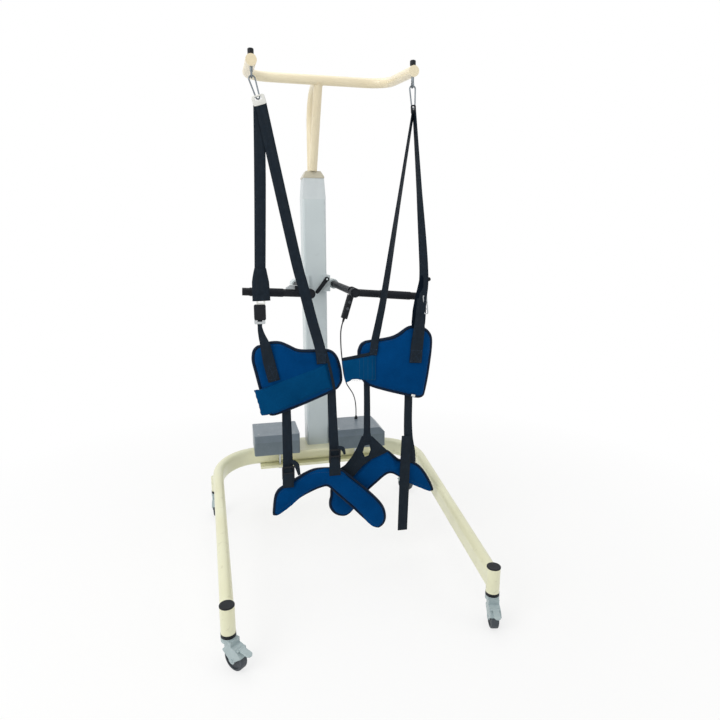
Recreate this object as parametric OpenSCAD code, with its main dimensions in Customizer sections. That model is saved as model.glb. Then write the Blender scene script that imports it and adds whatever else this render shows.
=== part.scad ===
// Standing and walking hoist: a wheeled base, a lifting mast with an overhead yoke,
// fold-up handles and a hanging harness. Millimetres, +Z up, front towards -Y.

/* [Base] */
// Width of the flat-oval base tube
tube_w = 42; // [36:1:50]
// Height of the flat-oval base tube
tube_h = 80; // [66:1:90]
// Wall of the base tube
tube_wall = 2.5; // [1.5:0.5:4]
// Half of the distance between the legs, just in front of the bends
leg_half = 458; // [420:1:500]
// Centreline radius of the base bends
bend_r = 180; // [140:5:220]
// Toe-in of each leg in degrees
leg_toe = 2; // [0:0.5:4]
// Distance from the mast axis forward to the front sockets
leg_reach = 1000; // [900:10:1100]
// Height of the crossbar's centre above the floor
crossbar_z = 265; // [250:1:290]
// Height of each socket's lower rim above the floor
socket_z = 112; // [108:1:120]
// Height of a front socket
socket_h = 88; // [76:1:100]
// How far a socket stands proud of the leg tube on each side
socket_lip = 1.5; // [1:0.5:4]
// Half of the distance between the rear sockets
rear_half = 475; // [460:1:500]
// Height of a rear socket
rear_socket_h = 66; // [64:1:80]
// Height of the black cap on a front socket
cap_h = 4; // [3:1:8]

/* [Casters] */
// Diameter of a caster wheel
wheel_d = 75; // [70:1:78]
// Width of a caster wheel
wheel_w = 25; // [20:1:28]
// Distance from the swivel axis back to the wheel axle
trail = 28; // [22:1:34]
// Diameter of the swivel stem
stem_d = 16; // [12:1:20]
// Diameter of the wheel axle
axle_d = 10; // [8:1:12]
// Wall of the caster hood
hood_wall = 5; // [4:0.5:6]
// Length of the brake pedal's tread
pedal_len = 42; // [34:1:48]

/* [Mast] */
// Width and depth of the outer mast
mast_w = 100; // [90:1:110]
// Wall of the outer mast
mast_wall = 4; // [3:0.5:5]
// Corner radius of the outer mast
mast_r = 9; // [6:1:14]
// Height of the outer mast above the base plate
mast_h = 1108; // [1000:1:1200]
// Width and depth of the inner mast
inner_w = 80; // [74:1:84]
// Height of the tapered collar
collar_h = 86; // [60:1:100]
// Width of the collar at its top
collar_top_w = 88; // [86:1:96]
// Lift travel of the inner mast
lift_travel = 450; // [300:10:500]
// Diameter of the actuator rod
rod_d = 25; // [20:1:28]
// Diameter of the actuator tube
actuator_d = 44; // [36:1:50]

/* [Yoke] */
// Diameter of the yoke tube
yoke_d = 36; // [32:1:42]
// Height of the yoke's cross tube
yoke_z = 1855; // [1800:1:1900]
// Distance of the yoke's cross tube in front of the mast axis
yoke_fore = 200; // [160:1:240]
// Half of the distance between the yoke arms
arm_half = 272; // [240:1:300]
// Bend radius of the yoke tube
yoke_bend_r = 90; // [70:1:110]
// Distance of the arm ends in front of the mast axis
arm_reach = 545; // [500:1:580]
// Drop of the arms from the cross tube to their ends
arm_drop = 40; // [10:1:50]
// Diameter of the two uprights under the yoke
upright_d = 34; // [28:1:38]
// Diameter of the pegs through the arm ends
peg_d = 10; // [8:1:12]
// Distance of the pegs behind the arm ends
peg_inset = 15; // [10:1:20]

/* [Boxes] */
// Width of the battery box
battery_box_w = 201; // [180:1:210]
// Width of the control box
control_box_w = 237; // [210:1:250]
// Depth of both boxes
box_d = 180; // [160:1:190]
// Height of the box cases
case_h = 60; // [50:1:70]
// Height of the box lids
lid_h = 32; // [26:1:40]
// Wall of the boxes
box_wall = 3; // [2:0.5:4]

/* [Handles] */
// Height of the handle arms above the floor
handle_z = 1060; // [950:1:1150]
// Diameter of the handle tubes
handle_d = 28; // [24:1:32]
// Half of the distance between the two handle arms
handle_arm_half = 84; // [80:1:96]
// Distance of the handles in front of the mast axis
handle_fore = 450; // [400:1:460]
// Distance from the middle to each handle's free end
handle_span = 330; // [300:1:350]
// Upward turn of the left handle in the stored position
left_turn = 3; // [0:0.5:6]
// Downward turn of the right handle in the stored position
right_turn = 4.5; // [0:0.5:6]
// Upward travel of the handle carrier on the mast
handle_travel = 120; // [60:10:150]
// Height of the handle clamp
clamp_h = 70; // [60:1:80]

/* [Hand control] */
// Width of the hand control
handset_w = 24; // [22:1:30]
// Depth of the hand control
handset_d = 26; // [24:1:30]
// Height of the hand control
handset_h = 92; // [86:1:96]
// Distance of the hand control's middle in front of the mast axis
handset_fore = 405; // [395:1:415]
// Diameter of a button
button_d = 12; // [10:1:14]
// Travel of a button
button_travel = 2; // [1:0.5:3]
// Diameter of the cable
cable_d = 5; // [4.5:0.5:6]

/* [Harness] */
// Width of the webbing
web_w = 38; // [30:1:44]
// Thickness of the webbing
web_t = 2.5; // [2:0.5:3.5]
// Half of the thickness of the waist pads
waist_half_t = 18; // [14:1:20]
// Half of the thickness of the thigh pads
thigh_half_t = 14; // [11:1:16]
// Half of the thickness of the belts
belt_half_t = 6; // [4:0.5:6.5]
// Diameter of the hook wire
hook_wire_d = 5; // [4:0.5:6]

/* [Hidden] */
$fn = 48;

// Colours
cream = [0.91, 0.88, 0.72];
mast_grey = [0.76, 0.79, 0.80];
collar_grey = [0.88, 0.89, 0.90];
box_grey = [0.45, 0.50, 0.54];
lid_grey = [0.52, 0.57, 0.61];
caster_grey = [0.70, 0.76, 0.78];
black = [0.10, 0.10, 0.11];
steel = [0.72, 0.73, 0.75];
pad_blue = [0.02, 0.24, 0.45];
web_navy = [0.12, 0.16, 0.22];
board_green = [0.10, 0.35, 0.20];

// Clearances
slide_gap = 0.3;
run_gap = 0.05;
seat_gap = 0.1;
eps = 1;

// Base frame: the tubes lie in one plane that falls from the crossbar to the front sockets
frame_tilt = atan((crossbar_z - socket_z - socket_h / 2) / leg_reach);
frame_run = leg_reach / cos(frame_tilt);
bend_x = leg_half - bend_r;
leg_run = (frame_run - bend_r * (1 + sin(leg_toe))) / cos(leg_toe);
socket_x = bend_x + bend_r * cos(leg_toe) - leg_run * sin(leg_toe);
tube_rise = (tube_h - tube_w) / 2 * cos(frame_tilt) + tube_w / 2;
socket_d = tube_w + 2 * socket_lip;
socket_depth = 60;
gusset_t = 14;
gusset_h = 34;
gusset_step = 4;
cap_lip = 0.8;
cap_round = 2;
bearing_lip = 1;

// Base plate and stiffener
plate_t = 10;
plate_z = crossbar_z + tube_rise + seat_gap;
plate_top = plate_z + plate_t;
plate_half = 290;
plate_fore = 110;
plate_aft = 55;
stiff_half = 270;
stiff_d = 96;
stiff_t = 12;
stiff_z = crossbar_z - tube_rise - stiff_t + eps;
bolt_d = 10;
bolt_head_d = 18;
bolt_head_h = 6;
bolt_gap = 0.25;
clamp_bolt_x = 180;
clamp_bolt_y = 34;
mast_bolt_off = 32;
foot_t = 10;

// Casters in the order front left, front right, rear left, rear right
caster_at = [[-socket_x, -leg_reach], [socket_x, -leg_reach], [-rear_half, 0], [rear_half, 0]];
caster_turn = [41, -14, -5, 222];
bearing_h = 11;
axle_z = wheel_d / 2;
hood_r = wheel_d / 2 + 6;
hood_in_r = wheel_d / 2 + 2;
hood_in_w = wheel_w + 1;
hood_w = hood_in_w + 2 * hood_wall;
hood_edge = 20;
cheek_r = 12;
axle_head = 1.5;
crown_z = socket_z - bearing_h - slide_gap;
crown_h = 14;
neck_drop = 4;
tyre_r = 4;
hub_d = axle_d + 10;
rim_depth = 3;
crown_d = socket_d + 2;
stem_len = 50;
pedal_rise = 41;
pedal_off = 5;
pedal_out = sqrt(pow(hood_r + pedal_off, 2) - pow(pedal_rise, 2));
pedal_pin_d = 4;
pedal_barrel_d = 8;
pedal_w = 22;
pedal_plate_w = pedal_w - 2;
pedal_t = 5;
pedal_drop = 6;
ear_t = 4;

// Mast
mast_top = plate_top + mast_h;
collar_top = mast_top + collar_h;
inner_wall = 4;
inner_r = 6;
motor_w = 64;
motor_h = 110;
actuator_h = 820;
inner_lift = 60;
inner_foot = plate_top + inner_lift;
actuator_top = plate_top + actuator_h;
rod_lift = 140;
rod_foot = plate_top + rod_lift;
rod_floor = 5;
guide_h = 40;
flange_t = 5;
flange_w = collar_top_w + 4;
flange_boss_h = 25;
flange_boss_w = 64;
flange_z = collar_top + slide_gap;
flange_top = flange_z + flange_t + flange_boss_h;

// Yoke
upright_aft = 24;
upright_bend_r = 130;
brace_foot_y = -18;
brace_bury = 14;
yoke_wall = 2.5;
end_wall = 4;
harness_fore = arm_reach - peg_inset;
arm_tilt = atan(arm_drop / (arm_reach - yoke_fore));
arm_len = (arm_reach - yoke_fore) / cos(arm_tilt);
peg_z = yoke_z - (harness_fore - yoke_fore) * tan(arm_tilt);
eye_r = 9;
eye_wire_d = 6;
eye_drop = 24;
eye_z = peg_z - yoke_d / 2 - eye_drop;
knob_d = 20;
knob_h = 16;
knob_round = 4;
knob_z = peg_z + yoke_d / 2 / cos(arm_tilt) + knob_d / 2 * tan(arm_tilt) + seat_gap;
peg_grip = 16;

// Boxes
box_fore = 140;
box_r = 8;
box_gap = 12;
battery_gap = 47;
battery_x = -mast_w / 2 - battery_gap - battery_box_w / 2;
control_x = mast_w / 2 + box_gap + control_box_w / 2;
box_y = -box_fore + box_d / 2;
box_chamfer = 26;
battery_margin = 20;
board_t = 1.6;
board_margin = 25;
post_d = 8;
post_h = 10;
relay = [28, 22, 20];
relay_pitch = 42;
gland_d = 16;
gland_h = 16;
gland_nut_h = 7;
gland_bore = 11;
gland_neck_d = gland_d - 4;
gland_at = [control_x + 13.5, box_y + 56];
lid_top = plate_top + case_h + lid_h;

// Handles
clamp_t = 12;
clamp_in = mast_w / 2 + slide_gap;
clamp_out = clamp_in + clamp_t;
clamp_lip = 32;
clamp_rise = 5;
clamp_z = handle_z - clamp_h / 2 + clamp_rise;
lug_wall = 7;
arm_lug_y = 36;
knuckle_d = 36;
knuckle_w = 30;
spigot_d = 16;
arm_front = handle_fore - knuckle_w / 2 - slide_gap;
lever_x = 46;
lever_z = clamp_z + clamp_h - 16;
lever_len = 70;
lever_hub_d = 20;
lever_tip_d = 15;
lever_t = 12;
lever_hub_t = 14;
lever_pin_d = 8;
lever_pin_len = 18;
lever_angle = 38;
washer_t = 5;
plug_len = 24;
washer_d = spigot_d + 8;
handle_wall = 2.5;
handle_len = handle_span - handle_arm_half;
grip_t = 1.5;
grip_seat = 0.5;
grip_len = 120;
grip_inset = 26;
latch_x = 150;
latch_len = 48;
latch_h = 15;
latch_w = 16;
latch_heel = 6;
latch_tip = 4;
latch_crest = 8;
latch_slope = 16;
latch_pin_d = 5;
latch_pin_x = 8;
latch_pin_z = 8;
ear_w = 4;

// Hand control: it hangs from the right handle arm and leans a little
lean = 17;
hook_in = handle_d / 2 + slide_gap;
hook_out = hook_in + 4.5;
hook_w = 12;
hook_slot = 6;
handset_drop = hook_in + 1;
handset_r = 7;
button_pocket = 7;
button_rest = 0.4;
button_up_z = 26;
button_down_z = 52;
button_out = 2.6;
boot_len = 16;
boot_top_d = 10;
boot_end_d = 7;

// Cable route from the boot to the gland, in the mast's frame
boot_low = handset_drop + handset_h + boot_len + slide_gap;
cable_top = [handle_arm_half - boot_low * sin(lean), -handset_fore, handle_z - boot_low * cos(lean)];
gland_floor = lid_top + gland_h - gland_bore + slide_gap;
cable_route = [
  cable_top, cable_top - 14 * [sin(lean), 0, cos(lean)], [39, -402, 908], [37, -394, 880], [40, -381, 846],
  [47, -361, 804], [57, -334, 755], [70, -300, 700], [84, -260, 646], [100, -216, 596], [118, -168, 552],
  [138, -120, 516], [158, -76, 491], [175, -40, 476], [188, -12, 466], [193.5, 3, 452],
  [gland_at[0], gland_at[1], 438], [gland_at[0], gland_at[1], gland_floor]
];
cable_sides = 10;

// Harness: straps hang in one plane, pads are strips with a crown
hook_len = 72;
hook_r = 10;
hook_foot_r = 6;
hook_turn = [-17, -4];
hook_seat = eye_wire_d / 2 + hook_wire_d / 2 + slide_gap;
fitting_w = [44, 24];
fitting_d = 12;
fitting_h = 32;
fitting_pin_d = 6;
fitting_z = hook_len - hook_foot_r;
fitting_web = 8;
buckle_web_w = web_w - 8;
tail_w = web_w + 4;
strap_split = 2;
left_hang = [[-270, 1000], [-268, 1150]];
left_neck = [[-262, 868], [-276, 960], [-270, 1000]];
left_cross = [[-45, 845], [-93, 1059], [-141, 1150]];
left_legs = [[[-196, 362], [-192, 660]], [[-20, 392], [-19, 716]]];
right_cross = [[136, 850], [181, 1075]];
right_hang = [[314, 900], [328, 1145]];
right_roll = [58, -50];
right_legs = [[[138, 404], [116, 500], [116, 734]], [[272, 365], [281, 500], [281, 700]]];
free_tail = [[267, 100], [270, 440]];
tail_top = [281, 560];
strap_buckles = [
  [[-270, 1052], [58, 12, 54]], [[-274, 966], [44, 16, 62]], [[322, 950], [50, 24, 190]],
  [[116, 504], [42, 12, 50]]
];
thigh_buckles = [[[-195, 380], [46, 8, 60]], [[-20, 420], [44, 8, 80]]];
thigh_buckle_in = 5;
pad_sides = 14;
pad_steps = 4;
waist_left = [
  [-306, 786, 62], [-296, 780, 92], [-275, 774, 110], [-211, 782, 110], [-149, 778, 90], [-83, 780, 81],
  [-27, 780, 68], [-6, 772, 52], [8, 768, 30]
];
waist_right = [
  [84, 794, 46], [94, 794, 58], [145, 795, 79], [211, 797, 100], [275, 801, 123], [331, 802, 122],
  [352, 812, 96], [366, 820, 60]
];
belt_line_left = [[-308, 680, 34], [-281, 682, 46], [-143, 722, 47], [-44, 762, 47], [-12, 774, 38]];
belt_line_right = [[20, 787, 38], [34, 787, 44], [69, 789, 44], [127, 790, 44], [150, 792, 38]];
thigh_left = [
  [-254, 286, 36], [-242, 294, 46], [-197, 321, 48], [-139, 353, 42], [-74, 374, 36], [-9, 352, 45],
  [66, 278, 53], [131, 210, 50], [156, 184, 40], [168, 170, 24]
];
thigh_right = [
  [0, 214, 26], [12, 230, 44], [41, 268, 55], [94, 323, 51], [155, 370, 44], [213, 384, 40], [276, 342, 39],
  [337, 304, 40], [364, 280, 33], [378, 264, 20]
];
thigh_left_fore = harness_fore + 26;
thigh_right_fore = harness_fore - 26;
belt_sink = 6;
belt_fore = harness_fore + waist_half_t + belt_half_t - belt_sink;

// The part's origin lies under the middle of its footprint
pedal_reach = trail + pedal_out + pedal_len * cos(pedal_drop) + pedal_t / 2 * sin(pedal_drop);
front_y = leg_reach + max([for (i = [0, 1])
  (pedal_reach - pedal_w / 2) * cos(caster_turn[i]) + pedal_w / 2]);
rear_y = max(plate_aft, clamp_out);
mast_y = (front_y - rear_y) / 2;

// Frame helpers

// Moves the mast's frame to the part's origin
module stand() {
  translate([0, mast_y, 0]) children();
}

// Flat-oval section, standing tall along Y
module oval(w, h) {
  square([w, h - w], center = true);
  for (s = [-1, 1]) translate([0, s * (h - w) / 2]) circle(d = w);
}

// Square section with round corners
module round_square(w, d, r) {
  square([w - 2 * r, d], center = true);
  square([w, d - 2 * r], center = true);
  for (x = [-1, 1], y = [-1, 1]) translate([x * (w / 2 - r), y * (d / 2 - r)]) circle(r);
}

// Round bar from p to q
module bar(p, q, d) {
  v = q - p;
  translate(p) rotate([0, acos(v[2] / norm(v)), atan2(v[1], v[0])]) cylinder(d = d, h = norm(v));
}

// Flat webbing from p to q, turned about its own length by roll
module web(p, q, w, t, roll = 0) {
  v = q - p;
  translate(p) rotate([0, atan2(v[0], v[2]), 0]) rotate([-asin(v[1] / norm(v)), 0, roll])
    translate([-w / 2, -t / 2, 0]) cube([w, t, norm(v)]);
}

// Smooth curve through stations
function curve_point(a, b, c, d, t) =
  0.5 * (2 * b + (c - a) * t + (2 * a - 5 * b + 4 * c - d) * t * t + (3 * b - a - 3 * c + d) * t * t * t);
function smooth(st, steps) = concat(
  [for (i = [0 : len(st) - 2], k = [0 : steps - 1])
    curve_point(st[max(i - 1, 0)], st[i], st[i + 1], st[min(i + 2, len(st) - 1)], k / steps)],
  [st[len(st) - 1]]
);
function unit(v) = v / norm(v);
function power_of(v, e) = sign(v) * pow(abs(v), e);

// Closed skin over rings of points, each with the same count of points
module skin(rings) {
  n = len(rings[0]);
  m = len(rings);
  points = [for (r = rings, p = r) p];
  middle = function(r) [for (k = [0 : 2]) [for (p = r) p[k]] * [for (p = r) 1] / n];
  sides = [for (i = [0 : m - 2], j = [0 : n - 1], f = [0, 1])
    let (a = i * n + j, b = i * n + (j + 1) % n, c = a + n, d = b + n) f == 0 ? [a, c, b] : [b, c, d]];
  first = [for (j = [0 : n - 1]) [n * m, j, (j + 1) % n]];
  last = [for (j = [0 : n - 1]) [n * m + 1, (m - 1) * n + (j + 1) % n, (m - 1) * n + j]];
  polyhedron(concat(points, [middle(rings[0]), middle(rings[m - 1])]), concat(sides, first, last));
}

// Padded strip: stations are [x, z, half width], the strip faces -Y and bows by the given depth at its ends
module pad(st, fore, half_t, bow = 0) {
  line = smooth(st, pad_steps);
  last = len(line) - 1;
  skin([for (i = [0 : last])
    let (
      ahead = line[min(i + 1, last)] - line[max(i - 1, 0)],
      along = unit([ahead[0], ahead[1]]),
      mid = line[i],
      share = 2 * i / last - 1,
      swell = pow(max(1 - pow(abs(share), 6), 0.02), 0.5)
    )
    [for (k = [0 : pad_sides - 1])
      let (
        turn = 360 * k / pad_sides,
        across = mid[2] * power_of(cos(turn), 0.75),
        depth = half_t * swell * power_of(sin(turn), 0.8)
      )
      [mid[0] - along[1] * across, bow * share * share - fore + depth, mid[1] + along[0] * across]]]);
}

// Tube swept along a smooth route
module tube(route, d, sides) {
  line = smooth(route, 3);
  last = len(line) - 1;
  skin([for (i = [0 : last])
    let (
      along = unit(line[min(i + 1, last)] - line[max(i - 1, 0)]),
      side = unit(cross(along, [0.3, 1, 0.1])),
      up = cross(along, side)
    )
    [for (k = [0 : sides - 1])
      line[i] + d / 2 * (cos(360 * k / sides) * side + sin(360 * k / sides) * up)]]);
}

// Base frame

module frame_plane() {
  translate([0, 0, crossbar_z]) rotate([frame_tilt, 0, 0]) children();
}

// One leg in the frame's plane on the right side: the bend, then the straight run
module leg_path(w, h) {
  translate([bend_x, -bend_r, 0]) rotate([0, 0, -leg_toe]) {
    rotate_extrude(angle = 90 + leg_toe) translate([bend_r, 0]) oval(w, h);
    translate([bend_r, 0, 0]) rotate([90, 0, 0]) linear_extrude(leg_run) oval(w, h);
  }
}

// Rear socket, held to the outside of the bend by a sloping gusset
module outrigger() {
  reach = [rear_half - bend_x, bend_r];
  turn = atan2(reach[1], reach[0]);
  tube_mid = crossbar_z - bend_r * (1 - sin(turn)) * sin(frame_tilt);
  translate([rear_half, 0, socket_z]) cylinder(d = socket_d, h = rear_socket_h);
  translate([bend_x, -bend_r, 0]) rotate([90, 0, turn]) linear_extrude(gusset_t, center = true) polygon([
    [bend_r, tube_mid - gusset_h / 2], [bend_r, tube_mid + gusset_h / 2],
    [bend_r + tube_w / 2, tube_mid + gusset_h / 2],
    [norm(reach), socket_z + rear_socket_h - gusset_step], [norm(reach), socket_z + gusset_step]
  ]);
}

module leg() {
  difference() {
    union() {
      difference() {
        union() {
          frame_plane() leg_path(tube_w, tube_h);
          outrigger();
        }
        frame_plane() leg_path(tube_w - 2 * tube_wall, tube_h - 2 * tube_wall);
      }
      translate([socket_x, -leg_reach, socket_z]) cylinder(d = socket_d, h = socket_h);
    }
    for (at = [caster_at[1], caster_at[3]]) translate([at[0], at[1], socket_z - eps])
      cylinder(d = stem_d + 2 * run_gap, h = socket_depth + eps);
  }
}

module leg_right() {
  color(cream) stand() leg();
}

module leg_left() {
  color(cream) stand() mirror([1, 0, 0]) leg();
}

// Straight tube across the back
module cross_path(w, h, past = 0) {
  frame_plane() rotate([90, 0, 90]) translate([0, 0, -bend_x - past])
    linear_extrude(2 * bend_x + 2 * past) oval(w, h);
}

module clamp_bolt_places() {
  for (x = [-1, 1], y = [-1, 1]) translate([x * clamp_bolt_x, y * clamp_bolt_y, 0]) children();
}

module mast_bolt_places() {
  for (x = [-1, 1], y = [-1, 1]) translate([x * mast_bolt_off, y * mast_bolt_off, 0]) children();
}

module bolt_hole(z, h) {
  translate([0, 0, z - eps]) cylinder(d = bolt_d + 2 * bolt_gap, h = h + 2 * eps);
}

module crossbar() {
  color(cream) stand() difference() {
    union() {
      cross_path(tube_w, tube_h);
      translate([-stiff_half, -stiff_d / 2, stiff_z]) cube([2 * stiff_half, stiff_d, stiff_t]);
    }
    cross_path(tube_w - 2 * tube_wall, tube_h - 2 * tube_wall, eps);
    clamp_bolt_places() bolt_hole(stiff_z, stiff_t);
  }
}

module base_plate() {
  color(cream) stand() difference() {
    translate([-plate_half, -plate_fore, plate_z]) cube([2 * plate_half, plate_fore + plate_aft, plate_t]);
    clamp_bolt_places() {
      bolt_hole(plate_z, plate_t);
      translate([0, 0, plate_top - bolt_head_h])
        cylinder(d = bolt_head_d + 2 * bolt_gap, h = bolt_head_h + eps);
    }
    mast_bolt_places() bolt_hole(plate_z, plate_t);
  }
}

module frame_bolts() {
  color(steel) stand() {
    clamp_bolt_places() {
      translate([0, 0, plate_top - bolt_head_h]) cylinder(d = bolt_head_d, h = bolt_head_h);
      translate([0, 0, stiff_z - bolt_head_h]) cylinder(d = bolt_d, h = plate_top - stiff_z);
      translate([0, 0, stiff_z - bolt_head_h]) cylinder(d = bolt_head_d, h = bolt_head_h, $fn = 6);
    }
    mast_bolt_places() translate([0, 0, plate_z - bolt_head_h]) {
      cylinder(d = bolt_head_d, h = bolt_head_h, $fn = 6);
      cylinder(d = bolt_d, h = bolt_head_h + plate_t + foot_t);
    }
  }
}

module socket_caps() {
  color(black) stand() for (s = [-1, 1]) translate([s * socket_x, -leg_reach, socket_z + socket_h])
    rotate_extrude() {
      square([socket_d / 2 + cap_lip, cap_h - cap_round]);
      square([socket_d / 2 + cap_lip - cap_round, cap_h]);
      translate([socket_d / 2 + cap_lip - cap_round, cap_h - cap_round]) circle(cap_round);
    }
}

module swivel_bearings() {
  color(black) stand() for (at = caster_at) translate([at[0], at[1], socket_z - bearing_h]) difference() {
    cylinder(d = socket_d + bearing_lip, h = bearing_h);
    translate([0, 0, -eps]) cylinder(d = stem_d + 2 * run_gap, h = bearing_h + 2 * eps);
  }
}

// Casters: the wheel trails towards -Y before the swivel turns

module caster_place(i) {
  stand() translate([caster_at[i][0], caster_at[i][1], 0]) rotate([0, 0, caster_turn[i]]) children();
}

module axle_place() {
  translate([0, -trail, axle_z]) rotate([0, 90, 0]) children();
}

// Side view of the hood, its neck and its cheeks round the axle, up along -X
module hood_outline() {
  neck = crown_z - axle_z - neck_drop;
  half = sqrt(pow(hood_r, 2) - pow(hood_edge, 2));
  intersection() {
    circle(hood_r);
    translate([-2 * hood_r, -hood_r]) square([2 * hood_r - hood_edge, 2 * hood_r]);
  }
  translate([-neck, 0]) square([neck - hood_edge, trail]);
  polygon([[-hood_edge - eps, -half], [-hood_edge - eps, half], [0, cheek_r], [0, -cheek_r]]);
  circle(cheek_r);
}

module caster_fork(i, braked) {
  color(caster_grey) caster_place(i) {
    difference() {
      union() {
        axle_place() linear_extrude(hood_w, center = true) hood_outline();
        translate([0, 0, crown_z - crown_h]) cylinder(d = crown_d, h = crown_h);
        if (braked) pedal_ears();
      }
      axle_place() cylinder(r = hood_in_r, h = hood_in_w, center = true);
    }
    axle_place() cylinder(d = axle_d, h = hood_w + 2 * axle_head, center = true);
    translate([0, 0, crown_z - crown_h]) cylinder(d = stem_d, h = crown_h + stem_len);
  }
}

module caster_wheel(i) {
  color(black) caster_place(i) axle_place() difference() {
    union() {
      cylinder(d = wheel_d, h = wheel_w - 2 * tyre_r, center = true);
      cylinder(d = wheel_d - 2 * tyre_r, h = wheel_w, center = true);
      for (s = [-1, 1]) translate([0, 0, s * (wheel_w / 2 - tyre_r)])
        rotate_extrude() translate([wheel_d / 2 - tyre_r, 0]) circle(tyre_r);
    }
    cylinder(d = axle_d + 2 * run_gap, h = wheel_w + 2 * eps, center = true);
    for (s = [-1, 1]) translate([0, 0, s * wheel_w / 2]) difference() {
      cylinder(d = wheel_d - 4 * tyre_r, h = 2 * rim_depth, center = true);
      cylinder(d = hub_d, h = 2 * rim_depth + 2 * eps, center = true);
    }
  }
}

module pedal_pivot() {
  translate([0, -trail - pedal_out, axle_z + pedal_rise]) rotate([0, 90, 0]) children();
}

module pedal_ears() {
  for (s = [-1, 1]) translate([s * (pedal_w / 2 + slide_gap + ear_t / 2), 0, 0]) {
    pedal_pivot() cylinder(d = pedal_barrel_d, h = ear_t, center = true);
    translate([-ear_t / 2, -trail - pedal_out, axle_z + pedal_rise - pedal_barrel_d / 2])
      cube([ear_t, pedal_out, pedal_barrel_d / 2]);
  }
  pedal_pivot() cylinder(d = pedal_pin_d, h = pedal_w + 2 * ear_t, center = true);
}

module caster_pedal(i) {
  color(caster_grey) caster_place(i) difference() {
    union() {
      pedal_pivot() cylinder(d = pedal_barrel_d, h = pedal_w, center = true);
      translate([0, -trail - pedal_out, axle_z + pedal_rise]) rotate([pedal_drop, 0, 0])
        translate([0, 0, -pedal_t / 2]) linear_extrude(pedal_t) {
          translate([-pedal_plate_w / 2, pedal_plate_w / 2 - pedal_len])
            square([pedal_plate_w, pedal_len - pedal_plate_w / 2]);
          translate([0, pedal_plate_w / 2 - pedal_len]) circle(d = pedal_plate_w);
        }
    }
    pedal_pivot() cylinder(d = pedal_pin_d + 2 * run_gap, h = pedal_w + 2 * eps, center = true);
  }
}

module fork_front_left() { caster_fork(0, true); }
module fork_front_right() { caster_fork(1, true); }
module fork_rear_left() { caster_fork(2, false); }
module fork_rear_right() { caster_fork(3, false); }
module wheel_front_left() { caster_wheel(0); }
module wheel_front_right() { caster_wheel(1); }
module wheel_rear_left() { caster_wheel(2); }
module wheel_rear_right() { caster_wheel(3); }
module pedal_front_left() { caster_pedal(0); }
module pedal_front_right() { caster_pedal(1); }

// Mast

module mast_outer() {
  color(mast_grey) stand() difference() {
    translate([0, 0, plate_top]) linear_extrude(mast_h) round_square(mast_w, mast_w, mast_r);
    translate([0, 0, plate_top + foot_t]) linear_extrude(mast_h)
      round_square(mast_w - 2 * mast_wall, mast_w - 2 * mast_wall, mast_r - mast_wall);
    mast_bolt_places() bolt_hole(plate_top, foot_t);
  }
}

// Upright blank whose sides lean in from w to top_w
module lean_in(w, top_w, h) {
  intersection() {
    rotate([90, 0, 0]) linear_extrude(2 * w, center = true)
      polygon([[-w / 2, 0], [w / 2, 0], [top_w / 2, h], [-top_w / 2, h]]);
    rotate([90, 0, 90]) linear_extrude(2 * w, center = true)
      polygon([[-w / 2, 0], [w / 2, 0], [top_w / 2, h], [-top_w / 2, h]]);
  }
}

module mast_collar() {
  color(collar_grey) stand() translate([0, 0, mast_top]) difference() {
    lean_in(mast_w, collar_top_w, collar_h);
    translate([0, 0, -eps]) linear_extrude(collar_h + 2 * eps)
      round_square(inner_w + 2 * slide_gap, inner_w + 2 * slide_gap, inner_r);
  }
}

module guide_pads() {
  pad_t = (mast_w - inner_w) / 2 - mast_wall - slide_gap;
  color(collar_grey) stand() for (a = [0 : 90 : 270]) rotate([0, 0, a])
    translate([inner_w / 2 + slide_gap, -inner_w / 4, mast_top - guide_h]) cube([pad_t, inner_w / 2, guide_h]);
}

module mast_inner() {
  color(collar_grey) stand() translate([0, 0, inner_foot]) linear_extrude(flange_z - inner_foot) difference() {
    round_square(inner_w, inner_w, inner_r);
    round_square(inner_w - 2 * inner_wall, inner_w - 2 * inner_wall, inner_r - inner_wall);
  }
}

module lift_actuator() {
  color(steel) stand() difference() {
    union() {
      translate([-motor_w / 2, -motor_w / 2, plate_top + foot_t]) cube([motor_w, motor_w, motor_h]);
      translate([0, 0, plate_top + foot_t]) cylinder(d = actuator_d, h = actuator_top - plate_top - foot_t);
    }
    translate([0, 0, rod_foot - rod_floor]) cylinder(d = rod_d + 2 * slide_gap, h = actuator_top);
  }
}

module actuator_rod() {
  color(steel) stand() translate([0, 0, rod_foot]) cylinder(d = rod_d, h = flange_z - rod_foot);
}

module mast_flange() {
  color(cream) stand() translate([0, 0, flange_z]) {
    linear_extrude(flange_t) round_square(flange_w, flange_w, inner_r);
    translate([0, 0, flange_t]) lean_in(flange_w, flange_boss_w, flange_boss_h);
  }
}

// Yoke

// Straight brace from the flange to the underside of the cross tube
module brace_path(d) {
  bar([0, brace_foot_y, flange_top - brace_bury], [0, -yoke_fore, yoke_z], d);
}

module rear_path(d) {
  bend_z = yoke_z - upright_bend_r;
  translate([0, upright_aft, bend_z]) rotate([180, 0, 0]) cylinder(d = d, h = bend_z - flange_top);
  translate([0, upright_aft - upright_bend_r, bend_z]) rotate([90, 0, 90])
    rotate_extrude(angle = 90) translate([upright_bend_r, 0]) circle(d = d);
  translate([0, upright_aft - upright_bend_r, yoke_z]) rotate([90, 0, 0])
    cylinder(d = d, h = yoke_fore + upright_aft - upright_bend_r);
}

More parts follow.
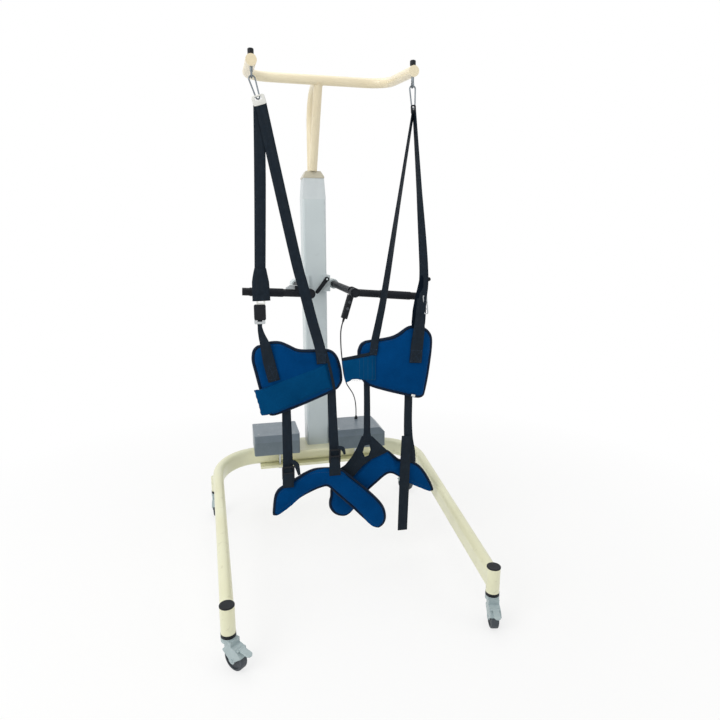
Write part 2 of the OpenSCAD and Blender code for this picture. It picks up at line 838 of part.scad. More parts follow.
// Half of the yoke on the right side: cross tube, bend, then the falling arm
module half_yoke(d, short = 0) {
  translate([0, -yoke_fore, yoke_z]) rotate([0, 90, 0]) cylinder(d = d, h = arm_half - yoke_bend_r);
  translate([arm_half - yoke_bend_r, -yoke_fore, yoke_z]) rotate([arm_tilt, 0, 0]) {
    translate([0, -yoke_bend_r, 0]) rotate_extrude(angle = 90) translate([yoke_bend_r, 0]) circle(d = d);
    translate([yoke_bend_r, -yoke_bend_r, 0]) rotate([90, 0, 0])
      cylinder(d = d, h = arm_len - yoke_bend_r - short);
  }
}

module yoke_path(d, short = 0) {
  half_yoke(d, short);
  mirror([1, 0, 0]) half_yoke(d, short);
}

module upright_front() {
  color(cream) stand() difference() {
    brace_path(upright_d);
    brace_path(upright_d - 2 * yoke_wall);
    rear_path(upright_d);
    yoke_path(yoke_d);
    translate([-flange_w / 2, -flange_w / 2, flange_z]) cube([flange_w, flange_w, flange_top - flange_z]);
  }
}

// Rear upright that bends forward into the cross tube
module upright_rear() {
  color(cream) stand() difference() {
    rear_path(upright_d);
    rear_path(upright_d - 2 * yoke_wall);
    yoke_path(yoke_d);
  }
}

module peg_places() {
  for (s = [-1, 1]) translate([s * arm_half, -harness_fore, 0]) children();
}

module yoke_tube() {
  color(cream) stand() difference() {
    yoke_path(yoke_d);
    yoke_path(yoke_d - 2 * yoke_wall, end_wall);
    peg_places() translate([0, 0, peg_z - yoke_d]) cylinder(d = peg_d + 2 * run_gap, h = 2 * yoke_d);
  }
}

module yoke_pegs() {
  color(steel) stand() peg_places() {
    translate([0, 0, eye_z + eye_r]) cylinder(d = peg_d, h = knob_z + peg_grip - eye_z - eye_r);
    translate([0, 0, eye_z]) rotate([0, 90, 0]) rotate_extrude() translate([eye_r, 0]) circle(d = eye_wire_d);
  }
}

module peg_knobs() {
  color(black) stand() peg_places() translate([0, 0, knob_z]) difference() {
    rotate_extrude() {
      square([knob_d / 2, knob_h - knob_round]);
      square([knob_d / 2 - knob_round, knob_h]);
      translate([knob_d / 2 - knob_round, knob_h - knob_round]) circle(knob_round);
    }
    translate([0, 0, -eps]) cylinder(d = peg_d + 2 * seat_gap, h = peg_grip + eps);
  }
}

// Boxes at the foot of the mast

module box_outside(w, h) {
  linear_extrude(h) round_square(w, box_d, box_r);
}

module box_inside(w, h) {
  linear_extrude(h) round_square(w - 2 * box_wall, box_d - 2 * box_wall, box_r - box_wall);
}

module case_shell(w) {
  difference() {
    box_outside(w, case_h);
    translate([0, 0, box_wall]) box_inside(w, case_h);
  }
}

module battery_case() {
  color(box_grey) stand() translate([battery_x, box_y, plate_top]) case_shell(battery_box_w);
}

module battery_lid() {
  color(lid_grey) stand() translate([battery_x, box_y, plate_top + case_h]) difference() {
    box_outside(battery_box_w, lid_h);
    translate([0, 0, -box_wall]) box_inside(battery_box_w, lid_h);
  }
}

module battery() {
  w = battery_box_w - 2 * battery_margin;
  d = box_d - 2 * battery_margin;
  color(black) stand() translate([battery_x - w / 2, box_y - d / 2, plate_top + box_wall])
    cube([w, d, case_h + lid_h - 2 * box_wall - battery_margin / 2]);
}

module control_case() {
  color(box_grey) stand() translate([control_x, box_y, plate_top]) case_shell(control_box_w);
}

// Space above the slanting outer top edge of the control box's lid
module lid_slant(inset) {
  reach = box_chamfer + inset;
  translate([control_box_w / 2, 0, lid_h]) rotate([90, 0, 0]) linear_extrude(2 * box_d, center = true)
    polygon([[-reach, eps], [-reach, 0], [0, -reach], [eps, -reach], [eps, eps]]);
}

module control_lid() {
  color(lid_grey) stand() translate([control_x, box_y, plate_top + case_h]) difference() {
    box_outside(control_box_w, lid_h);
    lid_slant(0);
    difference() {
      translate([0, 0, -box_wall]) box_inside(control_box_w, lid_h);
      lid_slant(box_wall);
    }
    translate([gland_at[0] - control_x, gland_at[1] - box_y, 0]) cylinder(d = gland_neck_d, h = lid_h + eps);
  }
}

module control_board() {
  w = control_box_w - 2 * board_margin;
  d = box_d - 2 * board_margin;
  color(board_green) stand() translate([control_x, box_y, plate_top + box_wall]) {
    for (x = [-1, 1], y = [-1, 1]) translate([x * (w / 2 - post_d), y * (d / 2 - post_d), 0])
      cylinder(d = post_d, h = post_h);
    translate([-w / 2, -d / 2, post_h]) cube([w, d, board_t]);
    for (k = [-1.5 : 1.5])
      translate([k * relay_pitch - relay[0] / 2, -relay[1], post_h + board_t]) cube(relay);
  }
}

module cable_gland() {
  color(black) stand() translate([gland_at[0], gland_at[1], lid_top]) difference() {
    union() {
      cylinder(d = gland_d, h = gland_nut_h, $fn = 6);
      translate([0, 0, gland_nut_h]) cylinder(d1 = gland_d - 2, d2 = cable_d + 3, h = gland_h - gland_nut_h);
      translate([0, 0, -box_wall - 4]) cylinder(d = gland_neck_d - 2 * seat_gap, h = box_wall + 5);
    }
    translate([0, 0, gland_h - gland_bore]) cylinder(d = cable_d + 2 * slide_gap, h = gland_bore + eps);
  }
}

// Handles

module arm_places() {
  for (s = [-1, 1]) translate([s * handle_arm_half, 0, handle_z]) rotate([90, 0, 0]) children();
}

module handle_clamp() {
  lug_reach = handle_arm_half - clamp_in;
  color(mast_grey) stand() difference() {
    union() {
      translate([-clamp_out, -clamp_in, clamp_z]) cube([2 * clamp_out, clamp_in + clamp_out, clamp_h]);
      for (s = [-1, 1]) translate([s * (clamp_out - clamp_lip / 2) - clamp_lip / 2, -clamp_out, clamp_z])
        cube([clamp_lip, clamp_t, clamp_h]);
      arm_places() cylinder(d = handle_d + 2 * lug_wall, h = 2 * arm_lug_y, center = true);
      for (s = [-1, 1])
        translate([s * (clamp_in + lug_reach / 2) - lug_reach / 2, -arm_lug_y, handle_z - handle_d / 2])
          cube([lug_reach, 2 * arm_lug_y, handle_d]);
      translate([lever_x, -clamp_out, lever_z]) rotate([90, 0, 0])
        cylinder(d = lever_pin_d, h = lever_pin_len);
    }
    translate([-clamp_in, -clamp_in, clamp_z - eps]) cube([2 * clamp_in, 2 * clamp_in, clamp_h + 2 * eps]);
    arm_places() cylinder(d = handle_d + 2 * seat_gap, h = 2 * arm_lug_y + 2 * eps, center = true);
  }
}

module lever_outline() {
  hub = lever_hub_d / 2 - eps;
  tip = lever_tip_d / 2;
  polygon([[-hub, 0], [hub, 0], [tip, -lever_len], [-tip, -lever_len]]);
  translate([0, -lever_len]) circle(tip);
}

module clamp_lever() {
  color(black) stand() translate([lever_x, -clamp_out - slide_gap, lever_z]) rotate([90, lever_angle, 0])
    difference() {
      union() {
        cylinder(d = lever_hub_d, h = lever_hub_t);
        linear_extrude(lever_t) lever_outline();
      }
      translate([0, 0, -eps]) cylinder(d = lever_pin_d + 2 * run_gap, h = lever_hub_t + 2 * eps);
    }
}

module handle_arms() {
  color(black) stand() arm_places() {
    difference() {
      translate([0, 0, -arm_lug_y]) cylinder(d = handle_d, h = arm_front + arm_lug_y);
      translate([0, 0, -arm_lug_y - eps])
        cylinder(d = handle_d - 2 * handle_wall, h = arm_front + arm_lug_y - plug_len);
    }
    translate([0, 0, arm_front - plug_len])
      cylinder(d = spigot_d, h = plug_len + knuckle_w + 2 * slide_gap + washer_t);
    translate([0, 0, handle_fore + knuckle_w / 2 + slide_gap]) cylinder(d = washer_d, h = washer_t);
  }
}

// Handle on the right side, turned up about its arm by the given angle
module handle_frame(turn) {
  translate([handle_arm_half, -handle_fore, handle_z]) rotate([0, 90 - turn, 0]) children();
}

module grip_place() {
  translate([0, 0, handle_len - grip_inset - grip_len]) children();
}

module handle(turn) {
  handle_frame(turn) difference() {
    union() {
      rotate([90, 0, 0]) cylinder(d = knuckle_d, h = knuckle_w, center = true);
      cylinder(d = handle_d, h = handle_len);
    }
    rotate([90, 0, 0]) cylinder(d = spigot_d + 2 * run_gap, h = knuckle_w + 2 * eps, center = true);
    translate([0, 0, knuckle_d / 2])
      cylinder(d = handle_d - 2 * handle_wall, h = handle_len - knuckle_d / 2 - handle_wall);
    grip_place() difference() {
      cylinder(d = handle_d + 2 * eps, h = grip_len);
      cylinder(d = handle_d - 2 * grip_seat, h = grip_len);
    }
  }
}

module grip(turn) {
  handle_frame(turn) grip_place() difference() {
    cylinder(d = handle_d + 2 * grip_t, h = grip_len);
    translate([0, 0, -eps]) cylinder(d = handle_d - 2 * grip_seat + 2 * seat_gap, h = grip_len + 2 * eps);
  }
}

// Frame of the latch on top of the left handle, its heel towards the arm
module latch_place() {
  stand() mirror([1, 0, 0]) translate([handle_arm_half, -handle_fore, handle_z]) rotate([0, -left_turn, 0])
    translate([latch_x - handle_arm_half - latch_len / 2, 0, handle_d / 2]) children();
}

module latch_pin(d, w) {
  translate([latch_pin_x, 0, latch_pin_z]) rotate([90, 0, 0]) cylinder(d = d, h = w, center = true);
}

module latch_ears() {
  for (s = [-1, 1]) translate([0, s * (latch_w / 2 + slide_gap + ear_w / 2) - ear_w / 2, -handle_d / 4])
    cube([2 * latch_pin_x, ear_w, handle_d / 4 + latch_pin_z + latch_pin_d]);
  latch_pin(latch_pin_d, latch_w + 2 * ear_w);
}

module handle_right() { color(black) stand() handle(-right_turn); }

module handle_left() {
  color(black) {
    stand() mirror([1, 0, 0]) handle(left_turn);
    latch_place() latch_ears();
  }
}

module grip_right() { color(black) stand() grip(-right_turn); }
module grip_left() { color(black) stand() mirror([1, 0, 0]) grip(left_turn); }

// Small lever that locks the left handle
module fold_latch() {
  color(steel) latch_place() difference() {
    translate([0, 0, slide_gap]) rotate([90, 0, 0]) linear_extrude(latch_w, center = true) polygon([
      [0, latch_tip], [latch_pin_x, 0], [latch_len, 0], [latch_len, latch_tip],
      [latch_len - latch_slope, latch_h], [latch_len - latch_slope - latch_crest, latch_h],
      [0, latch_h - latch_heel + latch_tip]
    ]);
    latch_pin(latch_pin_d + 2 * run_gap, latch_w + 2 * eps);
  }
}

// Hand control

module handset_place() {
  stand() translate([handle_arm_half, -handset_fore, handle_z]) rotate([0, lean, 0]) children();
}

module handset() {
  color(black) handset_place() difference() {
    union() {
      rotate([90, 0, 0]) cylinder(r = hook_out, h = hook_w, center = true);
      translate([0, 0, -handset_drop - handset_h]) linear_extrude(handset_h)
        round_square(handset_w, handset_d, handset_r);
    }
    rotate([90, 0, 0]) cylinder(r = hook_in, h = handset_d + 2, center = true);
    translate([-hook_out - eps, -handset_d, -hook_in])
      cube([hook_out + eps - hook_slot, 2 * handset_d, hook_in]);
    for (z = [button_up_z, button_down_z])
      translate([0, -handset_d / 2 - eps, -handset_drop - z]) rotate([-90, 0, 0])
        cylinder(d = button_d + 2 * slide_gap, h = button_pocket + eps);
  }
}

module handset_button(z) {
  handset_place() translate([0, -handset_d / 2 - button_out, -handset_drop - z]) rotate([-90, 0, 0])
    cylinder(d = button_d, h = button_out + button_pocket - button_travel - button_rest);
}

module button_up() { color(collar_grey) handset_button(button_up_z); }
module button_down() { color(collar_grey) handset_button(button_down_z); }

module cable_boot() {
  color(black) handset_place() translate([0, 0, -handset_drop - handset_h - boot_len])
    cylinder(d1 = boot_end_d, d2 = boot_top_d, h = boot_len);
}

module handset_cable() {
  color(black) stand() tube(cable_route, cable_d, cable_sides);
}

// Harness

// Frame of a hook: its origin is where the wire hangs in the eye, side 0 is left and 1 is right
module hook_place(side) {
  stand() translate([(2 * side - 1) * arm_half, -harness_fore, eye_z - eye_r])
    rotate([0, hook_turn[side], 0]) translate([0, 0, hook_seat]) children();
}

// Half ring of wire in the upright plane
module wire_arc(r) {
  rotate([90, 0, 0]) rotate_extrude(angle = 180) translate([r, 0]) circle(d = hook_wire_d);
}

// Long narrow spring hook, its wire running along X where it hangs
module hook() {
  translate([0, 0, -hook_r]) wire_arc(hook_r);
  translate([0, 0, -fitting_z]) rotate([180, 0, 0]) wire_arc(hook_foot_r);
  for (s = [-1, 1]) bar([s * hook_foot_r, 0, -fitting_z], [s * hook_r, 0, -hook_r], hook_wire_d);
}

module hook_left() { color(steel) hook_place(0) hook(); }
module hook_right() { color(steel) hook_place(1) hook(); }

// End fitting of a strap pair: a block with a pocket and a pin for the hook
module strap_fitting(side) {
  pocket = hook_foot_r + hook_wire_d / 2 + slide_gap;
  w = fitting_w[side];
  difference() {
    translate([-w / 2, -fitting_d / 2, -fitting_z - fitting_h + hook_foot_r]) cube([w, fitting_d, fitting_h]);
    translate([-pocket, -hook_wire_d / 2 - slide_gap, -fitting_z - pocket])
      cube([2 * pocket, hook_wire_d + 2 * slide_gap, pocket + fitting_h]);
  }
  translate([0, 0, -fitting_z]) rotate([90, 0, 0]) cylinder(d = fitting_pin_d, h = fitting_d, center = true);
}

// Webbing through a list of points
module webbing(points, w = web_w, roll = 0) {
  for (i = [0 : len(points) - 2]) web(points[i], points[i + 1], w, web_t, roll);
}

// Point of the harness, across and up, at a distance in front of the mast
function spot(x, z, fore = harness_fore) = [x, -fore, z];

// Where a strap pair enters its end fitting
function strap_top(side, off) =
  let (drop = fitting_z + fitting_h - hook_foot_r - fitting_web - hook_seat, turn = hook_turn[side])
  spot((2 * side - 1) * arm_half - drop * sin(turn) + off, eye_z - eye_r - drop * cos(turn));

function spots(points) = [for (p = points) spot(p[0], p[1])];

module straps_left() {
  color(web_navy) stand() {
    webbing(concat(spots(left_hang), [strap_top(0, -strap_split)]));
    webbing(spots(left_neck), w = buckle_web_w);
    webbing(concat(spots(left_cross), [strap_top(0, strap_split)]));
    for (run = left_legs) webbing([spot(run[0][0], run[0][1], thigh_left_fore), spot(run[1][0], run[1][1])]);
  }
}

module straps_right() {
  color(web_navy) stand() {
    webbing(concat(spots(right_cross), [strap_top(1, -strap_split)]), roll = right_roll[0]);
    webbing(concat(spots(right_hang), [strap_top(1, strap_split)]), roll = right_roll[1]);
    for (run = right_legs) webbing(concat(
      [spot(run[0][0], run[0][1], thigh_right_fore)], spots([run[1], run[2]])
    ));
    webbing(concat(spots(free_tail), [spot(tail_top[0], tail_top[1], harness_fore + web_t / 2)]), w = tail_w);
  }
}

// Plate or buckle round a strap: middle of its foot and its size
module buckle(foot, size) {
  translate(foot - [size[0] / 2, size[1] / 2, 0]) cube(size);
}

module buckles() {
  color(black) {
    for (side = [0, 1]) hook_place(side) strap_fitting(side);
    stand() {
      for (b = strap_buckles) buckle(spot(b[0][0], b[0][1]), b[1]);
      for (b = thigh_buckles) buckle(spot(b[0][0], b[0][1], thigh_left_fore - thigh_buckle_in), b[1]);
    }
  }
}

module waist_pad_left() { color(pad_blue) stand() pad(waist_left, harness_fore, waist_half_t, 16); }
module waist_pad_right() { color(pad_blue) stand() pad(waist_right, harness_fore, waist_half_t, 16); }
module belt_left() { color(pad_blue) stand() pad(belt_line_left, belt_fore, belt_half_t, 12); }
module belt_right() { color(pad_blue) stand() pad(belt_line_right, belt_fore, belt_half_t, 4); }
module thigh_pad_left() { color(pad_blue) stand() pad(thigh_left, thigh_left_fore, thigh_half_t, 10); }
module thigh_pad_right() { color(pad_blue) stand() pad(thigh_right, thigh_right_fore, thigh_half_t, 10); }

crossbar();
leg_left();
leg_right();
base_plate();
frame_bolts();
socket_caps();
swivel_bearings();
mast_outer();
mast_collar();
guide_pads();
lift_actuator();
battery_case();
battery_lid();
battery();
control_case();
control_lid();
control_board();
cable_gland();
mast_inner();
actuator_rod();
mast_flange();
upright_front();
upright_rear();
yoke_tube();
yoke_pegs();
peg_knobs();
handle_clamp();
clamp_lever();
handle_arms();
handle_left();
handle_right();
grip_left();
grip_right();
fold_latch();
handset();
button_up();
button_down();
cable_boot();
handset_cable();
hook_left();
hook_right();
straps_left();
straps_right();
buckles();
waist_pad_left();
waist_pad_right();
belt_left();
belt_right();
thigh_pad_left();
thigh_pad_right();
fork_front_left();
fork_front_right();
fork_rear_left();
fork_rear_right();
wheel_front_left();
wheel_front_right();
wheel_rear_left();
wheel_rear_right();
pedal_front_left();
pedal_front_right();
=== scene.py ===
import bpy
import bmesh
import math
from mathutils import Matrix, Vector, noise
from mathutils.bvhtree import BVHTree


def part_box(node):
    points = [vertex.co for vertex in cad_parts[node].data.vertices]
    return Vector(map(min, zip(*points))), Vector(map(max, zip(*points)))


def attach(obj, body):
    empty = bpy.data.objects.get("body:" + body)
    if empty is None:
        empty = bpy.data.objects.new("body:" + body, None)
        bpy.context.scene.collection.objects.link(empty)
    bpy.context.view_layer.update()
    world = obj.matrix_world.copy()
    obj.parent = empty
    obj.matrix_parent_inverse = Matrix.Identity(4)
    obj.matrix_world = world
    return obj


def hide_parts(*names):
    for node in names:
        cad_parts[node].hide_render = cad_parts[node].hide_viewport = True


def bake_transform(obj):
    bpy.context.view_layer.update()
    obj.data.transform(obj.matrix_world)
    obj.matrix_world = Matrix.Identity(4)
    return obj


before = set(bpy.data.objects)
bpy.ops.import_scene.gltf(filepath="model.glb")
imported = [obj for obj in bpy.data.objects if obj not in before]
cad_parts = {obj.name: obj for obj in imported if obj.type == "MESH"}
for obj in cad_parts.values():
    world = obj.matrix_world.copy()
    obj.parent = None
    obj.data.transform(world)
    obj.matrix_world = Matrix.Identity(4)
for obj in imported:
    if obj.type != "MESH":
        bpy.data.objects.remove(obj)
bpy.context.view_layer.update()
scene = bpy.context.scene
scene.view_settings.view_transform = "Standard"
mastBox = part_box("mast_outer")
mastY = (mastBox[0][1] + mastBox[1][1]) / 2  # the mast's axis in the part's frame


def onMast(x, fore, z):  # a point given by its distance in front of the mast
    return Vector((x, mastY - fore, z))


# camera, floor and light

view = {"lens": 28.0, "sensor": 36.0, "far": 60.0, "place": (-0.3831, 2.5128, 1.2639),
        "turn": (77.6265, 0.0, -13.3317)}
cameraData = bpy.data.cameras.new("camera")
cameraData.lens, cameraData.sensor_width, cameraData.clip_end = view["lens"], view["sensor"], view["far"]
camera = bpy.data.objects.new("camera", cameraData)
camera.location = onMast(*view["place"])
camera.rotation_euler = [math.radians(a) for a in view["turn"]]
scene.collection.objects.link(camera)
scene.camera = camera


def tint(code):  # hex colour as linear light
    parts = [int(code[i:i + 2], 16) / 255 for i in (0, 2, 4)]
    return [p / 12.92 if p <= 0.04045 else ((p + 0.055) / 1.055) ** 2.4 for p in parts] + [1.0]


class Look:  # the node tree of a material or the world, and short ways to add to it
    def __init__(self, owner):
        owner.use_nodes = True
        self.owner = owner
        self.nodes, self.links = owner.node_tree.nodes, owner.node_tree.links
        self.shader = self.nodes.get("Principled BSDF")
        coords = self.nodes.new("ShaderNodeTexCoord")
        self.place, self.uv = coords.outputs["Object"], coords.outputs["UV"]

    def add(self, kind, settings=None, **sockets):  # a socket is named, or numbered as i0, i1 and so on
        node = self.nodes.new("ShaderNode" + kind)
        for key, value in (settings or {}).items():
            setattr(node, key, value)
        for key, value in sockets.items():
            self.put(node.inputs[int(key[1:]) if key[0] == "i" and key[1:].isdigit() else key], value)
        return node

    def put(self, socket, value):
        if isinstance(value, bpy.types.NodeSocket):
            self.links.new(value, socket)
        else:
            socket.default_value = value

    def stretch(self, scale):
        return self.add("Mapping", Vector=self.place, Scale=scale).outputs[0]

    def grain(self, scale, detail=2.0, rough=0.5, where=None):
        return self.add("TexNoise", Vector=where or self.place, Scale=scale, Detail=detail,
                        Roughness=rough).outputs["Fac"]

    def remap(self, value, low, high, start=0.0, end=1.0):
        return self.add("MapRange", i0=value, i1=low, i2=high, i3=start, i4=end).outputs[0]

    def calc(self, kind, a, b=0.0, c=0.0):
        return self.add("Math", {"operation": kind}, i0=a, i1=b, i2=c).outputs[0]

    def wave(self, value, pitch):  # runs from 0 to 1 and back in each pitch
        sine = self.calc("SINE", self.calc("MULTIPLY", value, math.tau / pitch))
        return self.calc("MULTIPLY_ADD", sine, 0.5, 0.5)

    def mix(self, share, a, b):
        return self.add("Mix", {"data_type": "RGBA"}, i0=share, i6=a, i7=b).outputs[2]

    def bump(self, height, strength, depth, under=None):
        node = self.add("Bump", Strength=strength, Distance=depth, Height=height)
        if under:
            self.links.new(under, node.inputs["Normal"])
        return node.outputs[0]

    def seenRays(self):  # rays from the camera, also by way of metal or glass
        path = self.add("LightPath")
        seen = path.outputs["Is Camera Ray"]
        for ray in ("Is Glossy Ray", "Is Transmission Ray"):
            seen = self.calc("MAXIMUM", seen, path.outputs[ray])
        return seen

    def finish(self, colour, rough, normal=None, **fixed):
        self.put(self.shader.inputs["Base Color"], colour)
        self.put(self.shader.inputs["Roughness"], rough)
        if normal:
            self.links.new(normal, self.shader.inputs["Normal"])
        for key, value in fixed.items():
            self.shader.inputs[key.replace("_", " ")].default_value = value
        return self.owner


studio = {
    "floor": ("F4F4F2", "F8F8F7"), "side": 80.0, "cells": 40,
    "world": 0.62, "glow": 0.72, "fade": (0.9, 2.2),  # the floor turns white away from the part
    "lamps": {  # place, target, size, power
        "keyLight": ((-3.0, -1.9, 2.8), (0, 0.1, 0.9), 2.4, 62.0),
        "fillLight": ((2.8, -2.2, 2.0), (0, 0.1, 0.8), 2.2, 16.0),
        "topLight": ((-0.4, 0.6, 3.6), (0, 0.2, 0.8), 2.6, 26.0)},
}


def makeWorld():
    scene.world = bpy.data.worlds.new("studio")
    look = Look(scene.world)
    back = look.nodes["Background"]
    look.put(back.inputs[0], (1, 1, 1, 1))
    look.put(back.inputs[1], look.remap(look.seenRays(), 0.0, 1.0, studio["world"], 1.0))


def makeFloor():
    look = Look(bpy.data.materials.new("floorPale"))
    pale, paler = (tint(code) for code in studio["floor"])
    look.finish(look.mix(look.grain(0.8, 3.0), pale, paler), 0.9, Specular_IOR_Level=0.1)
    glow = look.add("Emission", Color=(1, 1, 1, 1), Strength=1.0)
    away = look.add("VectorMath", {"operation": "LENGTH"}, i0=look.place).outputs["Value"]
    share = look.remap(away, *studio["fade"], studio["glow"], 1.0)
    both = look.add("MixShader", i0=look.calc("MULTIPLY", look.seenRays(), share), i1=look.shader.outputs[0],
                    i2=glow.outputs[0])
    look.put(look.nodes["Material Output"].inputs[0], both.outputs[0])
    mesh = bpy.data.meshes.new("floor")
    side, count = studio["side"], studio["cells"]
    row = count + 1
    spots = [((i / count - 0.5) * side, (j / count - 0.5) * side, 0.0) for j in range(row) for i in range(row)]
    mesh.from_pydata(spots, [], [(j * row + i, j * row + i + 1, (j + 1) * row + i + 1, (j + 1) * row + i)
                                 for j in range(count) for i in range(count)])
    mesh.materials.append(look.owner)
    floor = bpy.data.objects.new("floor", mesh)
    scene.collection.objects.link(floor)


def makeLamps():
    for name, (place, target, size, power) in studio["lamps"].items():
        data = bpy.data.lights.new(name, "AREA")
        data.size, data.energy = size, power
        lamp = bpy.data.objects.new(name, data)
        lamp.location = place
        lamp.rotation_euler = (Vector(target) - Vector(place)).to_track_quat("-Z", "Y").to_euler()
        scene.collection.objects.link(lamp)


makeWorld()
makeFloor()
makeLamps()
print("studio done")


# finishes: each kind has its own nodes and a table of what differs

def paintFinish(f, base, shade, scuff, rough, peel, coat, shine):  # powder coat: soft tones, fine peel, low scuffs
    tone = f.mix(f.remap(f.grain(4.0, 4.0), 0.35, 0.65), tint(base), tint(shade))
    low = f.remap(f.add("SeparateXYZ", Vector=f.place).outputs["Z"], 0.35, 0.08)
    marks = f.calc("MULTIPLY", f.remap(f.grain(38.0, 8.0, 0.7), 0.58, 0.72), f.calc("MULTIPLY_ADD", low, 0.5, 0.14))
    tone = f.mix(marks, tone, tint(scuff))
    gloss = f.remap(f.grain(60.0, 5.0), 0.2, 0.8, rough - 0.07, rough + 0.09)
    normal = f.bump(f.grain(650.0, 2.0), peel, 0.0006)
    return f.finish(tone, gloss, normal, Coat_Weight=coat, Coat_Roughness=0.12, Specular_IOR_Level=shine)


paints = {  # base, shade and scuff colours, then roughness, peel, coat and shine
    "creamPaint": ("E6E6C8", "DFDDBB", "A79F84", 0.34, 0.1, 0.25, 0.5),
    "yokePaint": ("ECE1C3", "E7D9B8", "AA9B80", 0.34, 0.1, 0.25, 0.5),
    # flange: the cream paint darkened, painted shade under the yoke
    "shadedFlangePaint": ("BFBAA7", "B5B09E", "8E897A", 0.36, 0.1, 0.2, 0.5),
    "mastPaint": ("CCD6D7", "C4CED0", "8C9496", 0.36, 0.06, 0.15, 0.5),
    "blackPaint": ("12161D", "0E1117", "32373F", 0.52, 0.12, 0.02, 0.22),
}


def mouldedFinish(f, base, shade, dusty, dust, rough, grain, depth, shine):  # plastic or rubber: spark-eroded grain
    tone = f.mix(f.remap(f.grain(22.0, 5.0), 0.35, 0.7), tint(base), tint(shade))
    specks = f.calc("MULTIPLY", f.remap(f.grain(120.0, 6.0, 0.7), 0.52, 0.78), dust)
    tone = f.mix(specks, tone, tint(dusty))
    gloss = f.remap(f.grain(90.0, 4.0), 0.25, 0.75, rough - 0.06, rough + 0.08)
    fine = f.add("TexVoronoi", Vector=f.place, Scale=grain).outputs["Distance"]
    return f.finish(tone, gloss, f.bump(fine, depth, 0.0004), Specular_IOR_Level=shine)


plastics = {  # base, shade and dusty colours, then dust, roughness, grain, depth and shine
    "collarPlastic": ("CFD6D8", "C7CFD1", "B4BABC", 0.2, 0.42, 1500.0, 0.08, 0.5),
    "boxPlastic": ("66737B", "5D6A72", "8A949A", 0.25, 0.36, 1100.0, 0.14, 0.5),
    # lid: the box plastic made lighter, painted light on the lids' top faces
    "litLidPlastic": ("6E7B85", "66737C", "949EA5", 0.25, 0.33, 1100.0, 0.14, 0.5),
    "blackPlastic": ("14181E", "0F1217", "333940", 0.22, 0.44, 1300.0, 0.16, 0.22),
    "gripRubber": ("161A21", "101318", "31363E", 0.3, 0.66, 700.0, 0.4, 0.2),
    "softRubber": ("202124", "17181A", "4F5052", 0.3, 0.58, 900.0, 0.2, 0.35),
    "casterPlastic": ("A9B8BA", "9CABAE", "C4CCCB", 0.3, 0.38, 1200.0, 0.12, 0.5),
    "tyreRubber": ("43494F", "3A4046", "77787A", 0.45, 0.6, 800.0, 0.2, 0.35),
    "cableRubber": ("1D1E21", "161719", "48494C", 0.3, 0.5, 1500.0, 0.12, 0.5),
    "buttonPlastic": ("3A3F46", "30353B", "5A5F66", 0.2, 0.45, 1500.0, 0.1, 0.5),
    "whitePlastic": ("E3E3DE", "D8D8D2", "BDBDB6", 0.25, 0.38, 1400.0, 0.08, 0.5),
    "boardResin": ("2A5A3C", "234D33", "6E8C74", 0.2, 0.4, 900.0, 0.15, 0.5),
    "threadNavy": ("24405F", "1A3149", "587593", 0.3, 0.6, 2400.0, 0.3, 0.5),
}


def metalFinish(f, base, shade, lines, rough, metal):  # drawn or plated metal with fine lines along one axis
    drawn = f.grain(1.0, 4.0, 0.6, f.stretch(lines))
    tone = f.mix(f.remap(drawn, 0.3, 0.7), tint(base), tint(shade))
    gloss = f.remap(f.grain(30.0, 5.0), 0.25, 0.75, rough - 0.06, rough + 0.1)
    return f.finish(tone, gloss, f.bump(drawn, 0.08, 0.0003), Metallic=metal)


metals = {  # base and shade colours, then lines per metre on each axis, roughness and metallic share
    "brightSteel": ("C6CACB", "AEB3B5", (300.0, 300.0, 18.0), 0.24, 1.0),
    "hookSteel": ("7F868B", "6B7277", (300.0, 300.0, 18.0), 0.34, 0.9),
    "innerMetal": ("BFC5C8", "ABB2B5", (420.0, 420.0, 8.0), 0.32, 0.9),
    "latchMetal": ("B9BEC0", "A4AAAD", (40.0, 260.0, 260.0), 0.34, 0.85),
}


def clothFinish(f, base, shade, deep, fuzz, sheen):  # brushed knit on foam: tiny loops, soft streaks, pale fuzz
    broad = f.remap(f.grain(9.0, 5.0, 0.6), 0.3, 0.72)
    tone = f.mix(broad, tint(base), tint(shade))
    loops = f.add("TexVoronoi", Vector=f.place, Scale=620.0).outputs["Distance"]
    tone = f.mix(f.remap(loops, 0.15, 0.75, 0.0, 0.35), tone, tint(deep))
    pile = f.calc("MULTIPLY", f.remap(f.grain(240.0, 6.0, 0.75), 0.55, 0.8), 0.35)
    tone = f.mix(pile, tone, tint(fuzz))
    creases = f.grain(24.0, 4.0, 0.55, f.stretch((1.0, 1.0, 0.6)))
    normal = f.bump(loops, 0.35, 0.0006, f.bump(creases, 0.18, 0.004))
    return f.finish(tone, f.remap(broad, 0.0, 1.0, 0.78, 0.9), normal, Sheen_Weight=sheen,
                    Sheen_Roughness=0.45, Sheen_Tint=tint(fuzz), Specular_IOR_Level=0.03)


cloths = {  # base, shade, deep and fuzz colours, then sheen
    "padCloth": ("004580", "003A6E", "002247", "085F9A", 0.03),
    "beltCloth": ("024878", "013D68", "002645", "0F6394", 0.04),
    "sleeveCloth": ("101B28", "0B131D", "04080D", "1C2C3C", 0.04),
}


